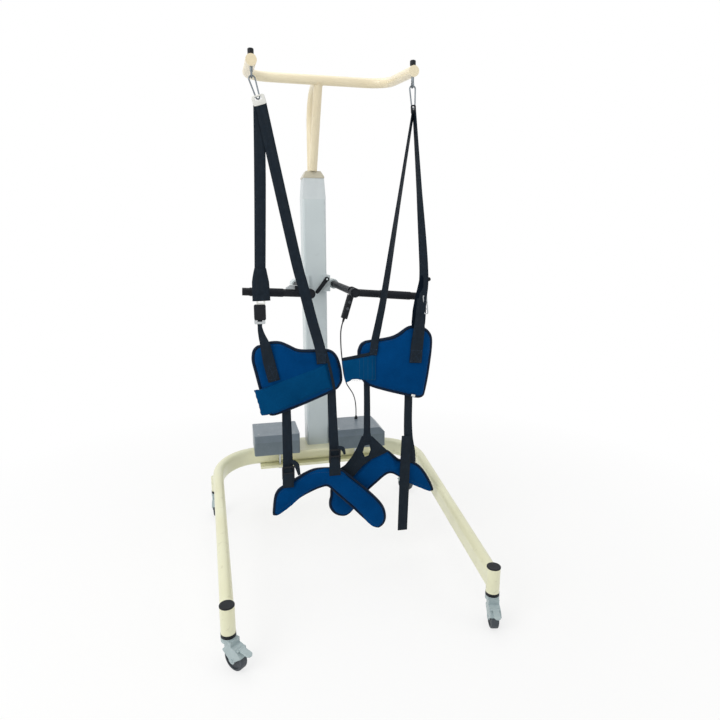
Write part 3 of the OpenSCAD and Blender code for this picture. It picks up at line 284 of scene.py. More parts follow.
def webFinish(f, base, deep, worn, band, pitch):  # webbing on a UV map in metres: chevron ribs and fine cords
    at = f.add("SeparateXYZ", Vector=f.uv)
    across, along = at.outputs["X"], at.outputs["Y"]
    rib = f.wave(f.calc("MULTIPLY_ADD", f.calc("PINGPONG", across, band), 0.8, along), pitch)
    weave = f.calc("MULTIPLY_ADD", f.wave(across, 0.0016), 0.45, rib)
    # the deep colour darkens the grooves of the weave: painted shade
    tone = f.mix(f.remap(weave, 0.2, 1.3), tint(deep), tint(base))
    tone = f.mix(f.calc("MULTIPLY", f.remap(f.grain(70.0, 6.0, 0.7), 0.5, 0.8), 0.4), tone, tint(worn))
    return f.finish(tone, f.remap(f.grain(45.0, 3.0), 0.3, 0.7, 0.5, 0.68), f.bump(weave, 0.6, 0.0007),
                    Sheen_Weight=0.04, Sheen_Roughness=0.4, Sheen_Tint=tint(worn), Specular_IOR_Level=0.16)


webbings = {  # base, deep and worn colours, then width of a chevron band and pitch of the ribs
    # the deep colour is painted shade in the grooves of the weave
    "navyWeb": ("13222F", "081119", "1C3040", 0.0095, 0.0024),
    "bindingWeb": ("05203C", "020F1E", "103554", 0.006, 0.0018),
}
finishes = {}
for make, table in ((paintFinish, paints), (mouldedFinish, plastics), (metalFinish, metals), (clothFinish, cloths),
                    (webFinish, webbings)):
    for name, values in table.items():
        finishes[name] = make(Look(bpy.data.materials.new(name)), *values)

nodeFinishes = {  # the soft pieces further down bring their own
    "creamPaint": "crossbar leg_left leg_right base_plate",
    "shadedFlangePaint": "mast_flange",
    "yokePaint": "upright_front upright_rear yoke_tube",
    "mastPaint": "mast_outer handle_clamp",
    "collarPlastic": "mast_collar guide_pads",
    "boxPlastic": "battery_case control_case",
    "litLidPlastic": "battery_lid control_lid",
    "blackPlastic": "socket_caps swivel_bearings peg_knobs handset battery clamp_lever cable_gland lift_actuator",
    "blackPaint": "handle_arms handle_left handle_right",
    "gripRubber": "grip_left grip_right",
    "softRubber": "cable_boot",
    "latchMetal": "fold_latch",
    "brightSteel": "frame_bolts actuator_rod",
    "hookSteel": "yoke_pegs hook_left hook_right",
    "innerMetal": "mast_inner",
    "boardResin": "control_board",
    "buttonPlastic": "button_up button_down",
    "casterPlastic": "fork_front_left fork_front_right fork_rear_left fork_rear_right "
                     "pedal_front_left pedal_front_right",
    "tyreRubber": "wheel_front_left wheel_front_right wheel_rear_left wheel_rear_right",
}
for material, names in nodeFinishes.items():
    for name in names.split():
        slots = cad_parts[name].data.materials
        slots.clear()
        slots.append(finishes[material])
print("finishes done")


# mesh helpers

def addPiece(name, mesh, material=None):
    piece = bpy.data.objects.new(name, mesh)
    scene.collection.objects.link(piece)
    if material:
        mesh.materials.append(finishes[material])
    shadeSmooth(mesh)
    return piece


def shadeSmooth(mesh):
    mesh.polygons.foreach_set("use_smooth", [True] * len(mesh.polygons))


def rework(mesh, change):  # opens a mesh, changes it and puts it back
    made = bmesh.new()
    made.from_mesh(mesh)
    change(made)
    made.to_mesh(mesh)
    made.free()


def sharpen(piece, angle):  # smooth shading that breaks at hard edges
    def mark(made):
        for edge in made.edges:
            edge.smooth = len(edge.link_faces) != 2 or edge.calc_face_angle(0.0) < math.radians(angle)
    rework(piece.data, mark)


def applyModifiers(piece):
    bpy.context.view_layer.update()
    mesh = bpy.data.meshes.new_from_object(piece.evaluated_get(bpy.context.evaluated_depsgraph_get()))
    old = piece.data
    piece.modifiers.clear()
    piece.data = mesh
    bpy.data.meshes.remove(old)


def angles(sides):  # one full turn in equal steps
    return [math.tau * k / sides for k in range(sides)]


def lengths(line, closed=False):  # distance gone at each point of a line
    gone = [0.0]
    for p, q in zip(line, line[1:] + (line[:1] if closed else [])):
        gone.append(gone[-1] + (q - p).length)
    return gone


def tangentAt(line, i, closed=False):
    n = len(line)
    a = line[(i - 1) % n] if closed else line[max(i - 1, 0)]
    b = line[(i + 1) % n] if closed else line[min(i + 1, n - 1)]
    return (b - a).normalized()


def curveThrough(points, step, closed=False, parts=24):  # smooth line through points, evenly spaced
    pts = [Vector(p) for p in points]
    count = len(pts)
    fine = []
    for i in range(count if closed else count - 1):
        near = (i - 1, i, i + 1, i + 2)
        a, b, c, d = (pts[k % count] if closed else pts[min(max(k, 0), count - 1)] for k in near)
        for t in (k / parts for k in range(parts)):
            fine.append(0.5 * (2 * b + (c - a) * t + (2 * a - 5 * b + 4 * c - d) * t * t
                               + (3 * b - a - 3 * c + d) * t * t * t))
    fine.append(pts[0] if closed else pts[-1])
    gone = lengths(fine)
    steps = max(2, round(gone[-1] / step))
    line, k = [], 0
    for i in range(steps + 1):
        want = gone[-1] * i / steps
        while k < len(gone) - 2 and gone[k + 1] < want:
            k += 1
        share = (want - gone[k]) / max(gone[k + 1] - gone[k], 1e-9)
        line.append(fine[k].lerp(fine[k + 1], share))
    return line[:-1] if closed else line


def sweepRings(name, rings, across, along, closed=False):  # skin over rings, with a UV map in metres
    sides, count = len(rings[0]), len(rings)
    faces, marks = [], []
    for i in range(count if closed else count - 1):
        here, there = i * sides, (i + 1) % count * sides
        for j in range(sides):
            n = (j + 1) % sides
            faces.append((here + j, here + n, there + n, there + j))
            marks += [(across[j], along[i]), (across[j + 1], along[i]), (across[j + 1], along[i + 1]),
                      (across[j], along[i + 1])]
    if not closed:
        faces.append(tuple(reversed(range(sides))))
        marks += [(across[j], along[0]) for j in reversed(range(sides))]
        faces.append(tuple((count - 1) * sides + j for j in range(sides)))
        marks += [(across[j], along[-1]) for j in range(sides)]
    mesh = bpy.data.meshes.new(name)
    mesh.from_pydata([p for ring in rings for p in ring], [], faces)
    mesh.uv_layers.new(name="UVMap").data.foreach_set("uv", [c for spot in marks for c in spot])
    rework(mesh, lambda made: bmesh.ops.recalc_face_normals(made, faces=made.faces))
    return mesh


def tubeMesh(name, line, radius, sides):
    rings, side = [], None
    for i, p in enumerate(line):
        t = tangentAt(line, i)
        side = side or t.orthogonal()
        side = (side - t * side.dot(t)).normalized()
        up = t.cross(side)
        rings.append([p + radius * (math.cos(a) * side + math.sin(a) * up) for a in angles(sides)])
    return sweepRings(name, rings, [math.tau * radius * k / sides for k in range(sides + 1)], lengths(line))


def joinMeshes(name, meshes):  # several meshes as one, UVs kept
    made = bmesh.new()
    for mesh in meshes:
        made.from_mesh(mesh)
        bpy.data.meshes.remove(mesh)
    whole = bpy.data.meshes.new(name)
    made.to_mesh(whole)
    made.free()
    return whole


web = {"width": 0.038, "thick": 0.0026, "face": (0, -1, 0), "step": 0.006, "across": 8, "edge": 0.10}


def ribbonMesh(name, points, width, thick, face):
    # webbing along points; face is the way its front looks, or one such way at each point; width may change too
    line = curveThrough(points, web["step"])
    gone = lengths(line)
    spots = lengths([Vector(p) for p in points])
    faces = [Vector(f) for f in face] if isinstance(face[0], (tuple, list)) else [Vector(face)] * len(points)
    widths = width if isinstance(width, (list, tuple)) else [width] * len(points)
    rings, across = [], []
    for i, p in enumerate(line):
        want = gone[i] / gone[-1] * spots[-1]
        k = max(j for j in range(len(spots) - 1) if spots[j] <= want + 1e-9)
        share = (want - spots[k]) / max(spots[k + 1] - spots[k], 1e-9)
        t = tangentAt(line, i)
        look = faces[k].lerp(faces[k + 1], share)
        look = (look - t * look.dot(t)).normalized()
        side = t.cross(look)
        half = (widths[k] * (1 - share) + widths[k + 1] * share) / 2
        ring, across = [], []
        for sign in (1, -1):
            for j in range(web["across"] + 1):
                u = (2 * j / web["across"] - 1) * sign
                swell = math.sqrt(max(1 - abs(u) ** 6, web["edge"]))  # thins towards both edges
                ring.append(p + side * (u * half) + look * (sign * swell * thick / 2))
                across.append(u * half)
        rings.append(ring)
    return sweepRings(name, rings, across + [across[0]], gone)


def plateMesh(name, outlines, thick, bevel):  # flat plate with holes and rounded edges, in the XY plane
    curve = bpy.data.curves.new(name, "CURVE")
    curve.dimensions, curve.fill_mode = "2D", "BOTH"
    curve.extrude, curve.bevel_depth, curve.bevel_resolution, curve.offset = thick / 2 - bevel, bevel, 2, -bevel
    for outline in outlines:
        spline = curve.splines.new("POLY")
        spline.points.add(len(outline) - 1)
        for point, spot in zip(spline.points, outline):
            point.co = (spot[0], spot[1], 0.0, 1.0)
        spline.use_cyclic_u = True
    holder = bpy.data.objects.new(name, curve)
    scene.collection.objects.link(holder)
    bpy.context.view_layer.update()
    mesh = bpy.data.meshes.new_from_object(holder.evaluated_get(bpy.context.evaluated_depsgraph_get()))
    bpy.data.objects.remove(holder)
    bpy.data.curves.remove(curve)

    def close(made):
        bmesh.ops.remove_doubles(made, verts=made.verts, dist=1e-6)
        bmesh.ops.recalc_face_normals(made, faces=made.faces)
        layer = made.loops.layers.uv.new("UVMap")
        for face in made.faces:
            for corner in face.loops:
                corner[layer].uv = corner.vert.co.xy
    rework(mesh, close)
    return mesh


def roundRect(w, h, r, at=(0, 0), steps=5):
    spots = []
    for cx, cy, start in ((1, 1, 0), (-1, 1, 90), (-1, -1, 180), (1, -1, 270)):
        for k in range(steps + 1):
            a = math.radians(start + 90 * k / steps)
            spots.append((at[0] + cx * (w / 2 - r) + r * math.cos(a), at[1] + cy * (h / 2 - r) + r * math.sin(a)))
    return spots


def placeMesh(mesh, place, tilt=0.0, lean=0.0):  # stands a flat mesh up to face -Y, then moves it
    turns = [Matrix.Rotation(math.radians(a), 4, axis) for a, axis in ((tilt, "X"), (lean, "Y"), (90, "X"))]
    mesh.transform(Matrix.Translation(place) @ turns[0] @ turns[1] @ turns[2])
    return mesh


# small repeated things: Geometry Nodes copy a shape along paths or onto points

def scatterTree(alongPaths):
    tree = bpy.data.node_groups.new("copyAlong" if alongPaths else "copyOnPoints", "GeometryNodeTree")
    for label, kind in (("Geometry", "Geometry"), ("Shape", "Object"), ("Spacing", "Float"), ("Spread", "Float"),
                        ("Finish", "Material")):
        tree.interface.new_socket(label, in_out="INPUT", socket_type="NodeSocket" + kind)
    tree.interface.new_socket("Geometry", in_out="OUTPUT", socket_type="NodeSocketGeometry")
    add, link = tree.nodes.new, tree.links.new
    given, result = add("NodeGroupInput"), add("NodeGroupOutput")
    shape, copies = add("GeometryNodeObjectInfo"), add("GeometryNodeInstanceOnPoints")
    real, finish = add("GeometryNodeRealizeInstances"), add("GeometryNodeSetMaterial")
    size, least = add("FunctionNodeRandomValue"), add("ShaderNodeMath")
    least.operation = "SUBTRACT"  # each copy's size lies between 1 - Spread and 1
    least.inputs[0].default_value = size.inputs[3].default_value = 1.0
    link(given.outputs["Spread"], least.inputs[1])
    link(least.outputs[0], size.inputs[2])
    size.inputs["Seed"].default_value = 7
    if alongPaths:
        curve, points = add("GeometryNodeMeshToCurve"), add("GeometryNodeCurveToPoints")
        points.mode = "LENGTH"
        link(given.outputs["Geometry"], curve.inputs[0])
        link(curve.outputs[0], points.inputs["Curve"])
        link(given.outputs["Spacing"], points.inputs["Length"])
        link(points.outputs["Rotation"], copies.inputs["Rotation"])
    else:
        points = add("GeometryNodeMeshToPoints")
        link(given.outputs["Geometry"], points.inputs[0])
    link(points.outputs[0], copies.inputs["Points"])
    link(given.outputs["Shape"], shape.inputs[0])
    link(shape.outputs["Geometry"], copies.inputs["Instance"])
    link(size.outputs[1], copies.inputs["Scale"])
    link(copies.outputs[0], real.inputs[0])
    link(real.outputs[0], finish.inputs[0])
    link(given.outputs["Finish"], finish.inputs["Material"])
    link(finish.outputs[0], result.inputs[0])
    return tree


alongTree, pointTree = scatterTree(True), scatterTree(False)


def scatter(name, paths, shapeMesh, material, body, spacing=0.0, spread=0.0):
    verts, edges = [], []
    for path in paths:
        first = len(verts)
        verts += [tuple(p) for p in path]
        if spacing:
            edges += [(first + i, first + i + 1) for i in range(len(path) - 1)]
    mesh = bpy.data.meshes.new(name)
    mesh.from_pydata(verts, edges, [])
    piece = addPiece(name, mesh)
    shape = bpy.data.objects.new(name + "Shape", shapeMesh)
    copies = piece.modifiers.new("copies", "NODES")
    copies.node_group = alongTree if spacing else pointTree
    sockets = {s.name: s.identifier for s in copies.node_group.interface.items_tree if s.in_out == "INPUT"}
    for label, value in (("Shape", shape), ("Spacing", spacing), ("Spread", spread),
                         ("Finish", finishes[material])):
        copies[sockets[label]] = value
    applyModifiers(piece)
    bpy.data.objects.remove(shape)
    shadeSmooth(piece.data)
    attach(piece, body)
    return piece


def seedShape(name, size, segments=8, rings=5):  # small rounded seed, long side along Z
    made = bmesh.new()
    bmesh.ops.create_uvsphere(made, u_segments=segments, v_segments=rings, radius=1.0)
    bmesh.ops.scale(made, vec=[s / 2 for s in size], verts=made.verts)
    mesh = bpy.data.meshes.new(name)
    made.to_mesh(mesh)
    made.free()
    return mesh


def lathe(name, profile, sides=20):  # turned shape about Z from (radius, height) pairs
    rings = [[Vector((r * math.cos(a), r * math.sin(a), z)) for a in angles(sides)] for r, z in profile]
    return sweepRings(name, rings, [0.0] * (sides + 1), [z for r, z in profile])


# handset cable: from the gland on the control box up to the boot of the handset

cable = {"diameter": 0.005, "step": 0.006, "sides": 12, "route": [
    (0.194, -0.006, 0.4123), (0.194, -0.006, 0.436), (0.193, -0.003, 0.460), (0.189, 0.006, 0.486),
    (0.182, 0.022, 0.512), (0.172, 0.045, 0.536), (0.159, 0.075, 0.560), (0.143, 0.112, 0.584),
    (0.124, 0.156, 0.611), (0.104, 0.204, 0.642), (0.086, 0.252, 0.680), (0.071, 0.296, 0.724),
    (0.059, 0.334, 0.774), (0.049, 0.364, 0.824), (0.043, 0.386, 0.868), (0.041, 0.399, 0.904),
    (0.04377, 0.405, 0.9284), (0.04786, 0.405, 0.9418)]}


def makeCable():
    line = curveThrough([onMast(*p) for p in cable["route"]], cable["step"])
    mesh = tubeMesh("handsetCable", line, cable["diameter"] / 2, cable["sides"])
    piece = addPiece("handsetCable", mesh, "cableRubber")
    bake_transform(piece)
    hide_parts("handset_cable")
    return lengths(line)[-1]


print("cable", round(makeCable(), 3))


# pads: outlines across and up, as seen from the front

pads = {
    "waistPadLeft": {"node": "waist_pad_left", "fore": 0.530, "half": 0.017, "bow": 0.016, "fill": 0.6,
                     "trim": 0.0062, "outline": [
        (-0.271, 0.886), (-0.286, 0.884), (-0.301, 0.869), (-0.306, 0.848), (-0.306, 0.826), (-0.297, 0.783),
        (-0.285, 0.727), (-0.272, 0.671), (-0.257, 0.634), (-0.238, 0.626), (-0.184, 0.642), (-0.096, 0.673),
        (-0.010, 0.705), (0.012, 0.723), (0.020, 0.744), (0.017, 0.782), (0.012, 0.804), (0.003, 0.829),
        (-0.010, 0.847), (-0.024, 0.857), (-0.040, 0.861), (-0.093, 0.863), (-0.129, 0.865), (-0.151, 0.870),
        (-0.179, 0.885), (-0.203, 0.896), (-0.225, 0.899), (-0.250, 0.896)]},
    "waistPadRight": {"node": "waist_pad_right", "fore": 0.530, "half": 0.017, "bow": 0.016, "fill": 0.6,
                      "trim": 0.0062, "outline": [
        (0.083, 0.832), (0.084, 0.852), (0.093, 0.873), (0.106, 0.883), (0.122, 0.887), (0.155, 0.891),
        (0.205, 0.899), (0.231, 0.909), (0.250, 0.921), (0.268, 0.932), (0.286, 0.937), (0.313, 0.936),
        (0.341, 0.926), (0.362, 0.908), (0.372, 0.884), (0.372, 0.845), (0.367, 0.797), (0.358, 0.733),
        (0.345, 0.672), (0.338, 0.660), (0.324, 0.656), (0.305, 0.659), (0.253, 0.674), (0.185, 0.694),
        (0.130, 0.713), (0.104, 0.731), (0.088, 0.763), (0.083, 0.800)]},
    "thighPadLeft": {"node": "thigh_pad_left", "fore": 0.556, "half": 0.0135, "bow": 0.010, "fill": 0.7,
                     "trim": 0.0050, "outline": [
        (-0.254, 0.240), (-0.252, 0.271), (-0.247, 0.309), (-0.239, 0.330), (-0.226, 0.345), (-0.196, 0.363),
        (-0.160, 0.383), (-0.132, 0.399), (-0.093, 0.412), (-0.038, 0.411), (-0.004, 0.403), (0.020, 0.389),
        (0.042, 0.370), (0.099, 0.316), (0.152, 0.259), (0.178, 0.220), (0.187, 0.184), (0.183, 0.158),
        (0.169, 0.142), (0.153, 0.138), (0.126, 0.156), (0.085, 0.199), (0.055, 0.233), (0.016, 0.274),
        (-0.022, 0.314), (-0.039, 0.333), (-0.054, 0.340), (-0.083, 0.334), (-0.107, 0.325), (-0.145, 0.307),
        (-0.176, 0.286), (-0.200, 0.267), (-0.228, 0.248), (-0.244, 0.239)]},
    "thighPadRight": {"node": "thigh_pad_right", "fore": 0.504, "half": 0.0135, "bow": 0.010, "fill": 0.7,
                      "trim": 0.0050, "outline": [
        (-0.022, 0.295), (-0.024, 0.264), (-0.029, 0.240), (-0.026, 0.214), (-0.007, 0.189), (0.024, 0.178),
        (0.047, 0.185), (0.067, 0.206), (0.093, 0.243), (0.125, 0.279), (0.166, 0.314), (0.191, 0.334),
        (0.210, 0.343), (0.229, 0.340), (0.257, 0.322), (0.299, 0.292), (0.345, 0.267), (0.396, 0.244),
        (0.403, 0.252), (0.382, 0.300), (0.350, 0.349), (0.315, 0.378), (0.274, 0.392), (0.251, 0.397),
        (0.228, 0.418), (0.205, 0.438), (0.178, 0.444), (0.146, 0.429), (0.117, 0.407), (0.076, 0.369),
        (0.032, 0.333), (-0.006, 0.313)]},
    "beltLeft": {"node": "belt_left", "fore": 0.548, "half": 0.0056, "bow": 0.012, "fill": 0.3, "trim": 0.0,
                 "outline": [
        (-0.311, 0.725), (-0.306, 0.728), (-0.253, 0.747), (-0.204, 0.766), (-0.146, 0.785), (-0.072, 0.811),
        (-0.041, 0.820), (-0.037, 0.817), (-0.031, 0.796), (-0.022, 0.758), (-0.015, 0.723), (-0.018, 0.719),
        (-0.084, 0.693), (-0.144, 0.669), (-0.186, 0.651), (-0.246, 0.632), (-0.282, 0.629), (-0.288, 0.632),
        (-0.300, 0.676)]},
    "beltRight": {"node": "belt_right", "fore": 0.548, "half": 0.0056, "bow": 0.004, "fill": 0.3, "trim": 0.0,
                  "outline": [
        (0.013, 0.823), (0.018, 0.828), (0.071, 0.834), (0.104, 0.838), (0.140, 0.842), (0.146, 0.839),
        (0.147, 0.789), (0.147, 0.741), (0.141, 0.738), (0.096, 0.738), (0.070, 0.741), (0.044, 0.740),
        (0.027, 0.737), (0.022, 0.742), (0.017, 0.780)]},
}
padSim = {"voxel": 0.005, "pressure": 4.0, "frames": 20, "cap": 0.007, "stiff": 25.0, "bend": 2.0, "mass": 0.3}
padForm = {"step": 0.008, "rise": 0.022, "boundEdge": 0.35, "cutEdge": 0.8, "middle": 0.86,  # shares of half
           "pucker": 0.0009, "puckerPitch": 0.026, "puckerFade": 0.014, "wave": 0.0016, "waves": 11}
tape = {"deep": 0.46, "sink": 0.55, "square": 0.7, "sides": 12}  # binding, as shares of the pad's half and trim


def edgeDistance(x, z, line):  # distance from a flat outline
    best = 1e9
    for (ax, az), (bx, bz) in zip(line, line[1:] + line[:1]):
        dx, dz = bx - ax, bz - az
        t = max(0.0, min(1.0, ((x - ax) * dx + (z - az) * dz) / (dx * dx + dz * dz + 1e-12)))
        best = min(best, (x - ax - t * dx) ** 2 + (z - az - t * dz) ** 2)
    return math.sqrt(best)


def padLine(pad):
    return curveThrough([Vector((x, 0, z)) for x, z in pad["outline"]], padForm["step"], closed=True)


def padOutline(pad):
    return [(p.x, p.z) for p in padLine(pad)]


def outward(line, i):  # the way out of a flat outline at one of its points
    area = sum(p.x * q.z - q.x * p.z for p, q in zip(line, line[1:] + line[:1]))
    t = tangentAt(line, i, closed=True)
    return Vector((t.z, 0, -t.x)) * (1 if area > 0 else -1)


def flatPad(name, pad):  # slab on the outline, remeshed, thick in the middle and thin at the bound edge
    outline = padOutline(pad)
    made = bmesh.new()
    front = [made.verts.new((x, -pad["half"], z)) for x, z in outline]
    back = [made.verts.new((x, pad["half"], z)) for x, z in outline]
    made.faces.new(front)
    made.faces.new(list(reversed(back)))
    for i in range(len(front)):
        j = (i + 1) % len(front)
        made.faces.new((front[j], front[i], back[i], back[j]))
    bmesh.ops.recalc_face_normals(made, faces=made.faces)
    mesh = bpy.data.meshes.new(name)
    made.to_mesh(mesh)
    made.free()
    piece = addPiece(name, mesh)
    remesh = piece.modifiers.new("remesh", "REMESH")
    remesh.mode, remesh.voxel_size = "VOXEL", padSim["voxel"]
    applyModifiers(piece)
    edge = padForm["boundEdge"] if pad["trim"] else padForm["cutEdge"]
    for v in piece.data.vertices:
        d = edgeDistance(v.co.x, v.co.z, outline)
        v.co.y *= edge + (padForm["middle"] - edge) * (1 - math.exp(-d / padForm["rise"]))
    return piece


def puff(pieces):  # air pressure in cloth, with each point's travel capped
    starts = {p: [v.co.copy() for v in p.data.vertices] for p in pieces}
    for piece in pieces:
        cloth = piece.modifiers.new("cloth", "CLOTH")
        cloth.settings.use_pressure = True
        cloth.settings.uniform_pressure_force = padSim["pressure"]
        cloth.settings.effector_weights.gravity = 0.0
        cloth.settings.tension_stiffness = cloth.settings.compression_stiffness = padSim["stiff"]
        cloth.settings.bending_stiffness = padSim["bend"]
        cloth.settings.mass = padSim["mass"]
        cloth.point_cache.frame_start, cloth.point_cache.frame_end = 1, padSim["frames"]
    for number in range(1, padSim["frames"] + 1):
        scene.frame_set(number)
    for piece in pieces:
        applyModifiers(piece)
        for v, was in zip(piece.data.vertices, starts[piece]):
            move = v.co - was
            if move.length > padSim["cap"]:
                move *= padSim["cap"] / move.length
            v.co = was + move
    scene.frame_set(1)


def padDepth(pad, x):  # how far the pad bows back at its ends
    xs = [p[0] for p in pad["outline"]]
    share = (2 * x - min(xs) - max(xs)) / (max(xs) - min(xs))
    return pad["bow"] * min(share * share, 1.2)


def creasePad(pad, piece):  # long soft waves, and puckers along the binding
    outline = padOutline(pad)
    gone = lengths(padLine(pad), closed=True)
    waves = padForm["waves"]
    for v in piece.data.vertices:
        away = [(x - v.co.x) ** 2 + (z - v.co.z) ** 2 for x, z in outline]
        best = away.index(min(away))
        d = edgeDistance(v.co.x, v.co.z, outline)
        sign = -1 if v.co.y < 0 else 1
        pucker = padForm["pucker"] * math.sin(gone[best] * math.tau / padForm["puckerPitch"] + sign)
        pucker *= math.exp(-d / padForm["puckerFade"])
        wave = padForm["wave"] * noise.noise(Vector((v.co.x * waves, sign * 3.1, v.co.z * waves)))
        v.co.y += sign * (pucker + wave)


def shapePad(pad, piece):  # creases, then the bow into place
    if pad["trim"]:
        creasePad(pad, piece)
    smooth = piece.modifiers.new("smooth", "SUBSURF")
    smooth.levels = smooth.render_levels = 1
    applyModifiers(piece)
    for v in piece.data.vertices:
        v.co.y += mastY - pad["fore"] + padDepth(pad, v.co.x)
    shadeSmooth(piece.data)


def bindingMesh(name, pad):  # folded tape round the pad's edge
    line = padLine(pad)
    rings, deep, wide = [], pad["half"] * tape["deep"], pad["trim"]
    for i, p in enumerate(line):
        out, ring = outward(line, i), []
        for a in angles(tape["sides"]):
            c, s = math.cos(a), math.sin(a)
            flat = math.copysign(abs(s) ** tape["square"], s)
            ring.append(p + out * (c * wide - wide * tape["sink"]) + Vector((0, flat * deep, 0)))
        rings.append([q + Vector((0, mastY - pad["fore"] + padDepth(pad, q.x), 0)) for q in ring])
    across = [wide * a for a in angles(tape["sides"])] + [math.tau * wide]
    return sweepRings(name, rings, across, lengths(line, closed=True), closed=True)


def makePads():
    pieces = {name: flatPad(name, pad) for name, pad in pads.items()}
    puff(list(pieces.values()))
    for name, pad in pads.items():
        piece = pieces[name]
        shapePad(pad, piece)
        piece.data.materials.clear()
        belt = name.startswith("belt")
        piece.data.materials.append(finishes["beltCloth" if belt else "padCloth"])
        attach(piece, "harness")
        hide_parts(pad["node"])
        if pad["trim"]:
            binding = addPiece(name + "Binding", bindingMesh(name + "Binding", pad), "bindingWeb")
            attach(binding, "harness")
    print("pads", {n: len(p.data.polygons) for n, p in pieces.items()})
    return pieces


padPieces = makePads()


# straps: routes as across, in front of the mast, up

strapsLeft = [
    {"route": [(-0.2511, 0.530, 1.6935), (-0.257, 0.530, 1.45), (-0.268, 0.530, 1.15), (-0.269, 0.530, 1.11)],
     "width": [0.037, 0.039, 0.038, 0.046]},
    {"route": [(-0.267, 0.5295, 1.160), (-0.268, 0.5295, 1.134), (-0.268, 0.5295, 1.112), (-0.2675, 0.5295, 1.08),
               (-0.267, 0.5295, 1.046)], "width": [0.040, 0.051, 0.059, 0.061, 0.062], "thick": 0.007},
    {"route": [(-0.2471, 0.5335, 1.6935), (-0.198, 0.5335, 1.45), (-0.142, 0.5335, 1.18), (-0.1195, 0.5335, 1.09),
               (-0.093, 0.5345, 0.98), (-0.070, 0.540, 0.892), (-0.064, 0.5505, 0.858), (-0.060, 0.5525, 0.815)],
     "width": web["width"]},
    {"route": [(-0.274, 0.530, 0.985), (-0.276, 0.530, 0.955), (-0.271, 0.534, 0.925), (-0.261, 0.5495, 0.890),
               (-0.250, 0.5525, 0.83), (-0.234, 0.5525, 0.76)],
     "width": [0.018, 0.016, 0.024, 0.036, 0.042, 0.042]},
    {"route": [(-0.046, 0.5475, 0.862), (-0.030, 0.5555, 0.79), (-0.014, 0.5475, 0.712)], "width": 0.010},
    {"route": [(-0.190, 0.522, 0.70), (-0.191, 0.524, 0.63), (-0.1925, 0.540, 0.56), (-0.1945, 0.560, 0.47),
               (-0.196, 0.5705, 0.415), (-0.197, 0.5725, 0.355)],
     "width": [0.032, 0.033, 0.035, 0.036, 0.040, 0.042]},
    {"route": [(-0.020, 0.522, 0.76), (-0.0205, 0.524, 0.69), (-0.021, 0.540, 0.60), (-0.021, 0.560, 0.50),
               (-0.020, 0.5705, 0.43), (-0.020, 0.5725, 0.385)],
     "width": [0.032, 0.032, 0.034, 0.036, 0.042, 0.044]},
    {"route": [(-0.184, 0.577, 0.462), (-0.166, 0.580, 0.446), (-0.156, 0.581, 0.405)],
     "width": [0.012, 0.020, 0.010]},
    {"route": [(-0.010, 0.577, 0.500), (0.008, 0.580, 0.493), (0.016, 0.581, 0.470)],
     "width": [0.010, 0.016, 0.008]},
]
strapsRight = [
    {"route": [(0.2762, 0.530, 1.690), (0.228, 0.530, 1.38), (0.181, 0.530, 1.075), (0.158, 0.531, 0.955),
               (0.142, 0.540, 0.893), (0.136, 0.5505, 0.868), (0.131, 0.5525, 0.838)],
     "width": [0.026, 0.034, 0.034, 0.032, 0.030, 0.030, 0.030],
     "face": [(0.82, -0.57, 0), (0.76, -0.65, 0), (0.5, -0.86, 0), (0.3, -0.95, 0), (0, -1, 0), (0, -1, 0),
              (0, -1, 0)]},
    {"route": [(0.2792, 0.5335, 1.690), (0.304, 0.5335, 1.42), (0.326, 0.5390, 1.145), (0.320, 0.5425, 1.04),
               (0.314, 0.5440, 0.965), (0.309, 0.5505, 0.925), (0.302, 0.5525, 0.87), (0.297, 0.5525, 0.80)],
     "width": [0.026, 0.034, 0.034, 0.036, 0.038, 0.044, 0.048, 0.048],
     "face": [(-0.99, -0.14, 0), (-0.96, -0.28, 0), (-0.6, -0.8, 0), (-0.2, -0.98, 0), (0, -1, 0), (0, -1, 0),
              (0, -1, 0), (0, -1, 0)]},
    {"route": [(0.114, 0.522, 0.76), (0.115, 0.524, 0.70), (0.116, 0.524, 0.62), (0.116, 0.524, 0.53),
               (0.117, 0.5225, 0.49)], "width": [0.024, 0.024, 0.025, 0.026, 0.040]},
    {"route": [(0.281, 0.522, 0.72), (0.281, 0.524, 0.66), (0.281, 0.524, 0.56), (0.285, 0.5225, 0.49),
               (0.294, 0.5200, 0.43), (0.298, 0.5195, 0.385)],
     "width": [0.032, 0.032, 0.033, 0.036, 0.042, 0.040]},
    {"route": [(0.2735, 0.5275, 0.503), (0.272, 0.531, 0.46), (0.270, 0.531, 0.38), (0.267, 0.530, 0.24),
               (0.264, 0.530, 0.10)], "width": [0.036, 0.040, 0.041, 0.041, 0.040]},
    # dark webbing strip along the right belt's top edge: a binding, and painted shade of the gap above the belt
    {"route": [(0.013, 0.5485, 0.826), (0.070, 0.5555, 0.836), (0.146, 0.5485, 0.846)], "width": 0.012},
]
webPatches = [  # flat pieces of webbing sewn to the right thigh pad
    {"outline": [(0.096, 0.514), (0.138, 0.510), (0.168, 0.478), (0.203, 0.442), (0.170, 0.428), (0.135, 0.416),
                 (0.098, 0.390), (0.064, 0.352), (0.030, 0.330), (0.000, 0.350), (0.002, 0.384), (0.030, 0.402),
                 (0.054, 0.430), (0.078, 0.470)],
     "hole": [(0.107, 0.474), (0.126, 0.477), (0.131, 0.455), (0.123, 0.432), (0.108, 0.428), (0.100, 0.448)],
     "fore": 0.5215, "thick": 0.004, "bevel": 0.001},
]


def makeStraps(name, straps, node, patches=()):
    parts = []
    for i, strap in enumerate(straps):
        route = [onMast(*p) for p in strap["route"]]
        parts.append(ribbonMesh(f"{name}{i}", route, strap["width"], strap.get("thick", web["thick"]),
                                strap.get("face", web["face"])))
    for patch in patches:
        outlines = [patch["outline"], list(reversed(patch["hole"]))]
        flat = plateMesh(name + "Patch", outlines, patch["thick"], patch["bevel"])
        parts.append(placeMesh(flat, onMast(0, patch["fore"], 0)))
    piece = addPiece(name, joinMeshes(name, parts), "navyWeb")
    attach(piece, "harness")
    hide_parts(node)
    return piece


